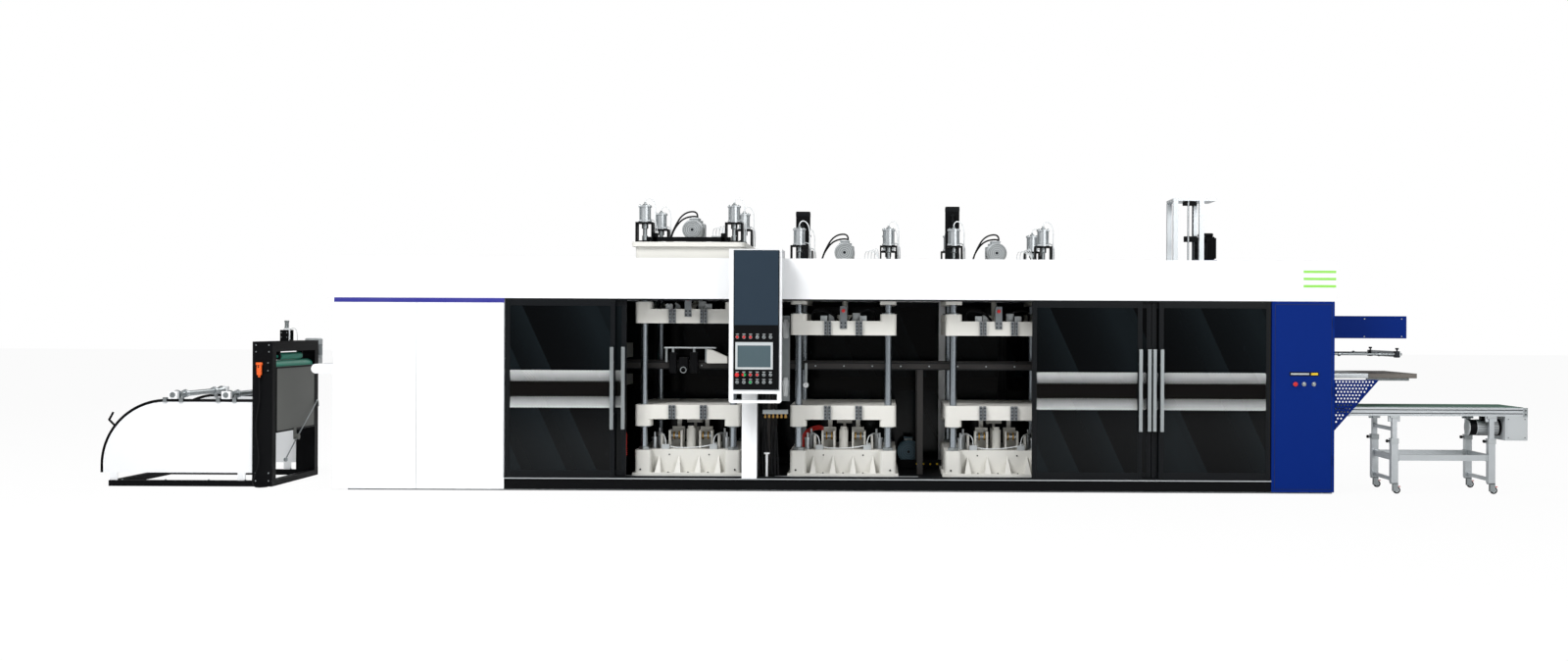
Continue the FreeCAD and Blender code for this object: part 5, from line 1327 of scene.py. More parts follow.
@dataclass
class ExitCabinets:
    """Display, buttons, seams and hinges of the blue cabinets."""

    left: float = 4.48
    right: float = 5.12
    front: float = -0.95
    display_low: Point = (4.66, -0.956, 1.205)
    display_high: Point = (4.96, -0.95, 1.245)
    button_x: Row = (4.717, 4.81, 4.91)
    button_z: float = 1.121

    def build(self) -> None:
        """Model the cabinet fittings."""
        low, high = self.display_low, self.display_high
        fitted("cabinet_display", [block(*zip(low, high), 0.002)], Stock.PROFILE)
        fields = (("field", (high[0] - 0.08, high[0] - 0.012), 0.009, Stock.YELLOW),
                  ("label", (low[0] + 0.012, high[0] - 0.1), 0.012, Stock.PALE))
        for name, x, margin, finish in fields:
            fitted(f"cabinet_display_{name}", [block(x, (low[1] - 0.0008, low[1] + 0.001),
                                                     (low[2] + margin, high[2] - margin), 0.0004)], finish)
        collars = [turned((x, self.front, self.button_z), Axis.Y,
                          [(0.0, 0.022), (-0.004, 0.022), (-0.006, 0.018)], 24, 0.0006)
                   for x in self.button_x]
        fitted("cabinet_button_collars", collars, Stock.STEEL)
        cap = [(0.0, 0.015), (-0.01, 0.015), (-0.0138, 0.01)]
        base = self.front - 0.006
        stop = turned((self.button_x[0], base, self.button_z), Axis.Y,
                      [(0.0, 0.015), (-0.008, 0.015), (-0.009, 0.0235), (-0.02, 0.0235), (-0.025, 0.018)],
                      28, 0.0006)
        fitted("cabinet_stop_cap", [stop], Stock.RED)
        fitted("cabinet_knobs",
               [turned((x, base, self.button_z), Axis.Y, cap, 24, 0.0006) for x in self.button_x[1:]],
               Stock.STEEL)
        self.build_seams()

    def build_seams(self) -> None:
        """Model the dark reveal round the door and its hinges."""
        y = self.front
        seams = [block((x, x + 0.004), (y - 0.001, y + 0.002), (0.045, 1.935), 0.0003)
                 for x in (self.left + 0.03, self.right - 0.03)]
        seams += [block((self.left + 0.03, self.right - 0.03), (y - 0.001, y + 0.002), (z, z + 0.004),
                        0.0003) for z in (0.045, 1.931)]
        fitted("cabinet_seams", both_sides(seams), Stock.SCREW)
        hinges = [bar((self.right - 0.014, y - 0.006, z), Axis.Z, 0.007, 0.09, 16) for z in (0.3, 1.0, 1.7)]
        fitted("cabinet_hinges", both_sides(hinges), Stock.BLUE)


@dataclass
class ExitStacker:
    """Blue hood with steel guide rods, in place of its CAD node."""

    left: float = 5.12
    right: float = 5.994
    half: float = 0.53
    low: float = 1.588
    high: float = 1.822
    sheet: float = 0.02
    rod_z: float = 1.422
    rod_radius: float = 0.0125
    rod_half: float = 0.45
    rod_left: float = 5.09
    rod_end: float = 5.97
    clamp: float = 0.06

    def build(self) -> None:
        """Model the hood and the rods."""
        self.build_hood()
        rods = [bar((self.rod_left, side * self.rod_half, self.rod_z), Axis.X, self.rod_radius,
                    self.rod_end - self.rod_left) for side in SIDES]
        for side in SIDES:
            rods += [bar((x, side * self.rod_half, self.rod_z), Axis.X, 0.022, 0.022) for x in (5.3, 5.72)]
        fitted("stacker_rods", rods, Stock.STEEL)
        reach = self.rod_half + self.clamp / 2
        bars = [block((self.rod_end - self.clamp, self.rod_end - self.clamp / 3), about(0, reach),
                      about(self.rod_z, self.clamp / 2), 0.005)]
        fitted("stacker_clamp_bar", bars, Stock.ALU)
        piece = fitted("stacker_wall_bar", [block((self.rod_left, self.left), about(0, 0.5497),
                                                  about(self.rod_z, self.clamp / 2), 0.004)], Stock.BLACK)
        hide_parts("exit_stacker")
        fittings = []
        for side in SIDES:
            y = side * self.rod_half
            fittings.append(turned((self.rod_end - 0.05, y, self.rod_z + 0.03), Axis.Z,
                                   stages((0.018, 0.008), (0.036, 0.018)), 20))
            fittings.append(block((self.rod_end - 0.075, self.rod_end - 0.03), about(y, 0.036),
                                  (self.rod_z - 0.036, self.rod_z + 0.033), 0.006))
        fitted("stacker_clamps", fittings, Stock.SCREW)

    def build_hood(self) -> None:
        """Model the hood as folded sheet, open below, with screws."""
        s = self.sheet
        wall, length = (self.low, self.high - s), (self.left, self.right)
        sheets = [block(length, about(0, self.half), (self.high - s, self.high), 0.004)]
        sheets += [block(x, (-self.half + s, self.half - s), wall, 0.003)
                   for x in (run(self.left, s), (self.right - s, self.right))]
        sheets += both_sides([block(length, (-self.half, -self.half + s), wall, 0.003)])
        fitted("stacker_hood", sheets, Stock.BLUE)
        heads = screws([(x, -self.half, z) for x in (5.17, 5.55, 5.94)
                        for z in (self.low + 0.02, self.high - 0.03)], 0.007)
        fitted("stacker_hood_screws", both_sides(heads), Stock.STEEL)


@dataclass
class ExitTable:
    """Light table and its darker extension, in place of their node."""

    low_z: float = 1.172
    high_z: float = 1.221
    half: float = 0.545
    left: float = 5.06
    split: float = 5.59
    end: float = 6.1
    top_sheet: float = 0.004
    gap: float = 0.0003

    def build(self) -> None:
        """Model both table halves with an edge profile and a top sheet."""
        seam = self.high_z - self.top_sheet
        for name, x, finish in (("table_light", (self.left, self.split), Stock.ALU),
                                ("table_extension", (self.split + self.gap, self.end), Stock.LAMINATE)):
            parts = [block(x, about(0, self.half), (self.low_z, seam), 0.004),
                     block(x, about(0, self.half), (seam, self.high_z), 0.001)]
            piece = fitted(name, parts, finish)
            if finish is Stock.ALU:
                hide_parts("exit_table")
        rails = [block((self.split + 0.02, self.end - 0.04), (y, y + 0.03), (self.low_z - 0.03, self.low_z),
                       0.003) for y in (-0.42, 0.39)]
        fitted("table_rails", rails, Stock.STEEL)


@dataclass
class CornerGuard:
    """Triangular guard with its round perforation, in place of its node."""

    left: float = 5.12
    top: float = 1.168
    length: float = 0.46
    height: float = 0.525
    front: float = -0.938
    thick: float = 0.004
    pitch: float = 0.034
    hole: float = 0.0095
    margin: float = 0.022

    def build(self) -> None:
        """Model the plate, punch the holes and fold the flange."""
        plate = self.plate()
        cutters = []
        slope = self.height / self.length
        rows = int((self.height - 2 * self.margin) / self.pitch)
        for row in range(rows):
            z = self.top - self.margin - row * self.pitch
            shift = self.pitch / 2 if row % 2 else 0.0
            x = self.left + self.margin + shift
            edge = self.left + self.length - (self.top - z) / slope
            while x < edge - self.margin * 1.3:
                cutters.append(bar((x, self.front - 0.004, z), Axis.Y, self.hole, self.thick + 0.008, 12,
                                   0.0))
                x += self.pitch
        cut_away(plate, cutters)
        flange = block(run(self.left, self.thick), run(self.front, 0.03),
                       (self.top - self.height + 0.03, self.top), 0.001)
        piece = fitted("guard_plate", [plate, flange], Stock.NAVY)
        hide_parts("corner_guard")

    def plate(self) -> Piece:
        """Model the bare triangle by cutting the corner off a box."""
        piece = block(run(self.left, self.length), run(self.front, self.thick),
                      (self.top - self.height, self.top), 0.0)
        return sliced(piece, (self.left + self.length, 0, self.top), (self.height, 0, -self.length))


# Outfeed conveyor

@dataclass
class Conveyor:
    """Side profiles, legs, castors and drive of the outfeed conveyor."""

    left: float = 5.25
    right: float = 7.12
    front: float = -0.885
    width: float = 0.69
    top: float = 0.89
    side_tall: float = 0.092
    inset: float = 0.05
    plate_long: float = 0.045
    leg_x: Row = (5.757, 6.752)
    sleeve_half: float = 0.035
    sleeve_top: float = 0.56
    wheel: float = 0.0375
    wheel_half: float = 0.013
    fork_in: float = 0.0133
    fork_out: float = 0.0183
    fork_top: float = 0.112
    trail: float = 0.03
    motor_y: float = -0.7125
    motor_z: float = 0.674

    def leg_y(self) -> tuple[float, float]:
        """Y of the two leg rows."""
        return (self.front + 0.025, self.front + self.width - 0.025)

    def build(self) -> None:
        """Model every conveyor detail."""
        self.build_sides()
        self.build_legs()
        self.build_castors()
        self.build_drive()

    def build_sides(self) -> None:
        """Model profile grooves, end plates, belt edges and tension screws."""
        z0, z1 = self.top - self.side_tall, self.top - 0.006
        back = self.front + self.width
        inner = (self.left + self.inset, self.right - self.inset)
        grooves = [block(inner, (y, y + 0.002), (z, z + 0.009), 0.0003)
                   for y in (self.front - 0.0006, back - 0.0014) for z in (z0 + 0.022, z0 + 0.058)]
        plates, heads = [], []
        for x in (run(self.left, self.plate_long), (self.right - self.plate_long, self.right)):
            plates += [block(x, (y, y + 0.004), (z0 - 0.006, z1 + 0.002))
                       for y in (self.front - 0.004, back)]
            heads += screws([(sum(x) / 2, self.front - 0.004, z) for z in (z0 + 0.02, z0 + 0.06)], 0.007)
        fitted("conveyor_grooves", grooves, Stock.SCREW)
        fitted("conveyor_end_plates", plates, Stock.STEEL)
        fitted("conveyor_end_screws", heads, Stock.SCREW)
        edges = [block(inner, (y, y + 0.03), (self.top - 0.0002, self.top + 0.0006), 0.0001)
                 for y in (self.front + 0.038, back - 0.068)]
        fitted("belt_edges", edges, Stock.PALE)

    def build_legs(self) -> None:
        """Model clamps, hand knobs, gussets, stretcher brackets and rungs."""
        collars, knobs, gussets = [], [], []
        z0, half = self.top - self.side_tall, self.sleeve_half + 0.006
        for x in self.leg_x:
            for y in self.leg_y():
                collars.append(block(about(x, half), about(y, half),
                                     (self.sleeve_top - 0.045, self.sleeve_top + 0.008), 0.004))
                knobs.append(turned((x - half, y, self.sleeve_top - 0.02), Axis.X,
                                    [(0.0, 0.007), (-0.02, 0.007), (-0.02, 0.018), (-0.04, 0.015)], 16))
                gussets += [block((x + side * 0.025, x + side * 0.06), about(y, 0.012), (z0 - 0.06, z0),
                                  0.004) for side in SIDES]
                collars.append(block(about(x, 0.045), about(y, 0.03), (z0 - 0.024, z0), 0.003))
        fitted("leg_collars", collars, Stock.DIECAST)
        fitted("leg_knobs", knobs, Stock.RUBBER)
        fitted("leg_gussets", gussets, Stock.ALU)
        joints = [block(about(x, 0.01), about(y, 0.024), (0.334, 0.406), 0.003) for y in self.leg_y()
                  for x in (self.leg_x[0] + 0.04, self.leg_x[1] - 0.04)]
        fitted("stretcher_brackets", joints, Stock.DIECAST)
        near, far = self.leg_y()
        fitted("leg_rungs", [block(about(x, 0.014), (near, far), about(z, 0.018), 0.003) for x in self.leg_x
                             for z in (0.66, 0.145)], Stock.ALU)

    def build_castors(self) -> None:
        """Model forks, tyres, hubs and brake pedals in place of the castors."""
        forks, tyres, hubs, brakes = [], [], [], []
        for x_leg in self.leg_x:
            x = x_leg + self.trail
            for y in self.leg_y():
                forks += [block((x - 0.042, x + 0.012), (y + side * self.fork_in, y + side * self.fork_out),
                                (0.0255, self.fork_top), 0.0015) for side in SIDES]
                forks.append(block((x - 0.065, x + 0.012), about(y, self.fork_out), (0.1, self.fork_top)))
                forks.append(bar((x, y - 0.0205, self.wheel), Axis.Y, 0.006, 0.041, 12))
                tyres.append(turned((x, y - self.wheel_half, self.wheel), Axis.Y,
                                    [(0.0, 0.031), (0.003, 0.0365), (0.008, self.wheel),
                                     (0.018, self.wheel), (0.023, 0.0365), (0.026, 0.031)], 32, 0.0))
                hubs += [bar((x, y + side * self.wheel_half, self.wheel), Axis.Y, 0.023, side * 0.0003, 24,
                             0.0) for side in SIDES]
                brakes.append(block((x - 0.002, x + 0.038), about(y, 0.014), (0.07, 0.079), 0.003))
        piece = fitted("castor_forks", forks, Stock.STEEL)
        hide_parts("castors")
        fitted("castor_tyres", tyres, Stock.RUBBER)
        fitted("castor_hubs", hubs, Stock.PALE)
        fitted("castor_brakes", brakes, Stock.RED)

    def build_drive(self) -> None:
        """Model the motor's dark housing and the cover's edge and screws."""
        motor_y, motor_z = self.motor_y, self.motor_z
        body = [turned((6.562, motor_y, motor_z), Axis.X, [
            (0.0, 0.07), (0.01, 0.0815), (0.08, 0.0815), (0.083, 0.074), (0.3, 0.074), (0.305, 0.086),
            (0.326, 0.086)
        ], 40)]
        fin = block((6.65, 6.86), about(motor_y, 0.0015), (motor_z + 0.072, motor_z + 0.083), 0.0005)
        body += circled(fin, (0, motor_y, motor_z), Axis.X, 30)
        body.append(block((6.7, 6.8), about(motor_y, 0.045), (motor_z + 0.07, motor_z + 0.115), 0.005))
        fitted("drive_motor_housing", body, Stock.BLACK)
        y = self.front
        fitted("drive_cover_plate", [block((6.905, 7.105), (y - 0.003, y), (0.565, 0.783))], Stock.PALE)
        fitted("drive_cover_screws",
               screws([(x, y - 0.003, z) for x in (6.92, 7.09) for z in (0.58, 0.768)], 0.005), Stock.SCREW)


# Film unwinder

@dataclass
class Unwinder:
    """Tubes, blocks, gantry, rollers and lift unit of the film unwinder."""

    half: float = 0.66
    post_left: float = -6.038
    post_right: float = -5.829
    top: float = 1.506
    tube_y: float = 0.63
    tube_radius: float = 0.015
    tube_left: float = -7.627
    tube_top: float = 0.906
    tube_bend: float = 0.67
    tube_foot: float = 0.14
    shaft_x: Row = (-6.87, -6.316)
    shaft_z: float = 0.948
    shaft_radius: float = 0.028
    nip_x: float = -5.912
    nip_z: float = 1.245
    gearmotor_z: float = 1.31

    def build(self) -> None:
        """Model every unwinder detail."""
        self.build_side_frames()
        self.build_gantry()
        self.build_nip()
        self.build_lift_unit()
        self.build_gearmotor()
        self.build_switch()
        self.build_dancer()

    def on_bend(self, degrees: float) -> Point:
        """Point on the bend of the front side tube's axis, 180 at its foot and 90 at its top."""
        angle = math.radians(degrees)
        bend_x = self.tube_left + self.tube_radius + self.tube_bend
        bend_z = self.tube_top - self.tube_radius - self.tube_bend
        return (bend_x + self.tube_bend * math.cos(angle), -self.tube_y,
                bend_z + self.tube_bend * math.sin(angle))

    def build_side_frames(self) -> None:
        """Model tubes, hooks and bearing blocks in place of the side tubes."""
        foot = (self.tube_left + self.tube_radius, -self.tube_y, self.tube_foot)
        end = (self.post_left, -self.tube_y, self.tube_top - self.tube_radius)
        bend = [self.on_bend(180 - 90 * step / 24) for step in range(25)]
        tube = pipe([foot, *bend, end], self.tube_radius, 2)
        root = Vector(self.on_bend(143))
        knee = root + Vector((-0.06, 0, 0.06))
        tip = knee + Vector((0.5, 0, 1.0)).normalized() * 0.09
        hook = pipe([tuple(root), tuple(knee + Vector((0.006, 0, -0.006))),
                     tuple(knee + Vector((-0.004, 0, 0.006))), tuple(knee + Vector((0.006, 0, 0.014))),
                     tuple(tip)], 0.012)
        piece = fitted("side_tubes", both_sides([tube, hook]), Stock.BLACK)
        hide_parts("unwinder_side_tubes")
        blocks = []
        for x in self.shaft_x:
            body = block(about(x, 0.048), about(-self.tube_y, 0.025),
                         (self.tube_top + 0.0003, self.shaft_z + 0.04), 0.005)
            hole = bar((x, -self.tube_y - 0.05, self.shaft_z), Axis.Y, self.shaft_radius + 0.0003, 0.1, 48,
                       0.0)
            blocks.append(cut_away(body, [hole]))
        fitted("shaft_blocks", both_sides(blocks), Stock.WHITE)
        clamps = [block(about(x + side * 0.085, 0.022), about(-self.tube_y, 0.022),
                        (self.tube_top - 0.036, self.tube_top + 0.016), 0.006)
                  for x in self.shaft_x for side in SIDES]
        fitted("shaft_stops", both_sides(clamps), Stock.STEEL)
        bolts = screws([(x, -self.half + 0.03, 0.06) for x in (-7.4, -6.95, -6.5, -6.12)], 0.011, Axis.Z, 1)
        fitted("rail_bolts", both_sides(bolts), Stock.STEEL)
        for number, x in enumerate(self.shaft_x, 1):
            rings = []
            for y in (-0.36, 0.36):
                rings.append(turned((x, y, self.shaft_z), Axis.Y, [(-0.03, 0.04), (0.03, 0.04)]))
                rings += circled(block(about(x, 0.006), about(y, 0.026),
                                       (self.shaft_z + 0.038, self.shaft_z + 0.046)), (x, y, self.shaft_z),
                                 Axis.Y, 3)
            fitted(f"shaft_{number}_chucks", rings, Stock.ALU, f"film_shaft_{number}")

    def build_gantry(self) -> None:
        """Model bearings, bolts, the floor plate and the apron's edge."""
        fitted("nip_bearing_plate", [block(about(self.nip_x, 0.055), (-self.half - 0.01, -self.half),
                                           about(self.nip_z, 0.055), 0.006)], Stock.BLACK)
        heads = screws([(self.nip_x + sx * 0.04, -self.half - 0.01, self.nip_z + sz * 0.04)
                        for sx, sz in CORNERS], 0.007)
        heads += screws([(x, -self.half, z) for x in (-6.0, -5.866) for z in (0.06, 0.14, 1.4, 1.47)],
                        0.008)
        fitted("gantry_bolts", heads, Stock.STEEL)
        feet = [block((self.post_left, self.post_right), (-self.half - 0.006, -self.half), (0.0, 0.09))]
        fitted("gantry_feet", both_sides(feet), Stock.BLACK)
        trims = [block(about(self.post_right, 0.004), (y, y + 0.016), (0.552, 1.238))
                 for y in (-0.559, 0.543)]
        trims += [block(about(self.post_right, 0.004), about(0, 0.543), (z, z + 0.016))
                  for z in (0.552, 1.222)]
        fitted("apron_edge", trims, Stock.BLACK)

    def build_nip(self) -> None:
        """Model steel end rings on both rollers."""
        for name, z, radius, half in (("lower", self.nip_z, 0.06, 0.545), ("upper", 1.3455, 0.04, 0.3)):
            rings = [bar((self.nip_x, side * half, z), Axis.Y, radius * 0.93, side * 0.002, 32, 0.0005)
                     for side in SIDES]
            fitted(f"nip_{name}_end_rings", rings, Stock.STEEL, f"nip_{name}")

    def build_lift_unit(self) -> None:
        """Model cylinder barrel, fitting and air tubes of the lift unit."""
        x = (self.post_left + self.post_right) / 2
        z = self.top
        barrel = [turned((x, 0, z + 0.016), Axis.Z, [
            (0.0, 0.0365), (0.018, 0.0365), (0.018, 0.035), (0.094, 0.035), (0.094, 0.037), (0.116, 0.037),
            (0.12, 0.03)
        ])]
        fitted("lift_barrel", barrel, Stock.WHITE)
        fitting = [turned((x, 0, z + 0.13), Axis.Z, [
            (0.0, 0.024), (0.018, 0.024), (0.02, 0.0212), (0.07, 0.0212), (0.072, 0.025), (0.09, 0.025),
            (0.0905, 0.01)
        ], 24)]
        fitted("lift_fitting", fitting, Stock.STEEL)
        tubes = [pipe([(x - 0.02 * side, 0.034 * side, z + 0.1), (x - 0.02 * side, 0.075 * side, z + 0.11),
                       (x + 0.05, 0.095 * side, z + 0.15), (x + 0.075, 0.11 * side, z + 0.09),
                       (x + 0.07, 0.12 * side, z + 0.006)], 0.004) for side in SIDES]
        fitted("lift_air_tubes", tubes, Stock.TUBE)
        fitted("lift_bolts",
               screws([(x + side * 0.03, -0.075, z + dz) for side in SIDES for dz in (0.04, 0.09)], 0.006),
               Stock.STEEL)

    def build_gearmotor(self) -> None:
        """Model fins, fan cap, lid and gearbox cover of the upright gearmotor."""
        x, y, z = self.nip_x, self.half + 0.09, self.gearmotor_z
        fin = block(about(x, 0.0015), (y + 0.078, y + 0.092), (z + 0.03, z + 0.15), 0.0006)
        parts = circled(fin, (x, y, 0), Axis.Z, 36)
        parts.append(turned((x, y, z + 0.15), Axis.Z, [(0.0, 0.094), (0.06, 0.094), (0.07, 0.08)], 40))
        parts.append(turned((x, y, z), Axis.Z, [(0.0, 0.09), (0.03, 0.092)], 40))
        parts.append(block(about(x, 0.05), (y + 0.06, y + 0.115), (z + 0.05, z + 0.13), 0.006))
        fitted("gearmotor_housing", parts, Stock.DIECAST)
        fitted("gearbox_cover", [turned((x, self.half + 0.15, self.nip_z), Axis.Y,
                                        [(0.0, 0.055), (0.006, 0.055), (0.009, 0.04)])], Stock.DIECAST)

    def build_switch(self) -> None:
        """Model ribs and two buttons on the orange hand switch."""
        x, y = -5.954, -self.half - 0.034
        fitted("switch_ribs",
               [ring((x, y, 1.172 + i * 0.012), Axis.Z, 0.02, 0.0272, 0.005, 28) for i in range(5)],
               Stock.ORANGE)
        fitted("switch_keys", [turned((x, y - 0.024, z), Axis.Y, [(0.0, 0.008), (-0.006, 0.007)], 20,
                                      0.0006) for z in (1.244, 1.262)], Stock.SCREW)

    def build_dancer(self) -> None:
        """Model the feeler lever that hangs from the apron's lower edge."""
        x = self.post_right + 0.032
        rod = pipe([(x, 0.578, 0.77), (x, 0.58, 0.84), (x, 0.52, 0.842), (x, 0.5, 0.81), (x, -0.05, 0.477),
                    (x, -0.376, 0.261)], 0.007)
        grip = turned((x, -0.376, 0.237), Axis.Z, [(0.0, 0.012), (0.01, 0.02), (0.03, 0.02), (0.04, 0.012)],
                      20)
        fitted("feeler_rod", [rod, grip], Stock.STEEL)
        hub = [block(run(self.post_right, 0.012), (-0.085, -0.015), (0.45, 0.575), 0.003),
               bar((self.post_right + 0.01, -0.05, 0.477), Axis.X, 0.03, 0.045)]
        fitted("feeler_hub", hub, Stock.GREY)


# Cord of the hand switch

@dataclass
class SwitchCord:
    """Cord that hangs from the hand switch and ends at the post's foot."""

    diameter: float = 0.012
    length: float = 1.329
    route: tuple[Point, ...] = ((-5.954, -0.694, 1.136), (-5.954, -0.694, 1.056), (-5.948, -0.696, 0.966),
                                (-5.952, -0.694, 0.866), (-5.972, -0.692, 0.776), (-5.986, -0.694, 0.676),
                                (-5.984, -0.698, 0.566), (-5.966, -0.7, 0.456), (-5.95, -0.698, 0.346),
                                (-5.958, -0.694, 0.236), (-5.984, -0.698, 0.142), (-6.0, -0.726, 0.072),
                                (-5.986, -0.77, 0.026), (-5.944, -0.788, 0.007), (-5.89, -0.772, 0.0065),
                                (-5.862, -0.728, 0.0065), (-5.862, -0.692, 0.0065))

    def build(self) -> None:
        cord = tube_line("switch_cord_line", self.route, self.diameter / 2, fineness=2)
        dressed(cord, Stock.RUBBER)
        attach(cord, "machine")
        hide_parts("switch_cord")


# Lift frame on the deck

@dataclass
class LiftTower:
    """Fittings of the lift frame that stands on the deck."""

    post_x: Row = (3.605, 3.88)
    post_y: Row = (-0.33, 0.03)
    deck: float = 2.38
    top: float = 3.06
    servo_x: float = 3.96
    servo_y: float = -0.15

    def build(self) -> None:
        """Model feet, rods, the carriage and the servo's trim."""
        self.build_servo()
        feet = [block(about(x, 0.045), about(y, 0.045), run(self.deck, 0.014), 0.003) for x in self.post_x
                for y in self.post_y]
        fitted("tower_feet", feet, Stock.DIECAST)
        fitted("tower_rods", [bar((x, -0.3, self.deck), Axis.Z, 0.008, self.top - self.deck - 0.03, 16)
                              for x in (3.745, 3.795)], Stock.SCREW)
        carriage = [block((3.7, 3.84), (-0.325, -0.285), (2.6, 2.66), 0.004),
                    block((3.69, 3.83), (-0.33, -0.27), (2.985, 3.03), 0.004)]
        fitted("tower_carriage", carriage, Stock.BLACK)

    def build_servo(self) -> None:
        """Model the finned black servo with its plug and blue flange."""
        x, y, z, half = self.servo_x, self.servo_y, self.deck + 0.034, 0.09
        body = [block(about(x, half), about(y, half), (z, z + 0.25), 0.02),
                block(about(x, half * 0.8), about(y, half * 0.8), (z + 0.25, z + 0.286), 0.012),
                bar((x, y - half, z + 0.21), Axis.Y, 0.018, -0.035, 20)]
        fin = block(about(x, 0.003), (y - half - 0.012, y - half + 0.002), (z + 0.015, z + 0.235), 0.001)
        for dx in (-0.072, -0.048, -0.024, 0.024, 0.048, 0.072):
            row = copied(fin, (dx, 0, 0))
            body += circled(row, (x, y, 0), Axis.Z, 4)
        bpy.data.objects.remove(fin)
        fitted("tower_servo", body, Stock.BLACK)
        fitted("tower_servo_flange", [block(about(x, 0.105), about(y, 0.105), (self.deck, z), 0.004)],
               Stock.BLUE)


# Inside of the machine

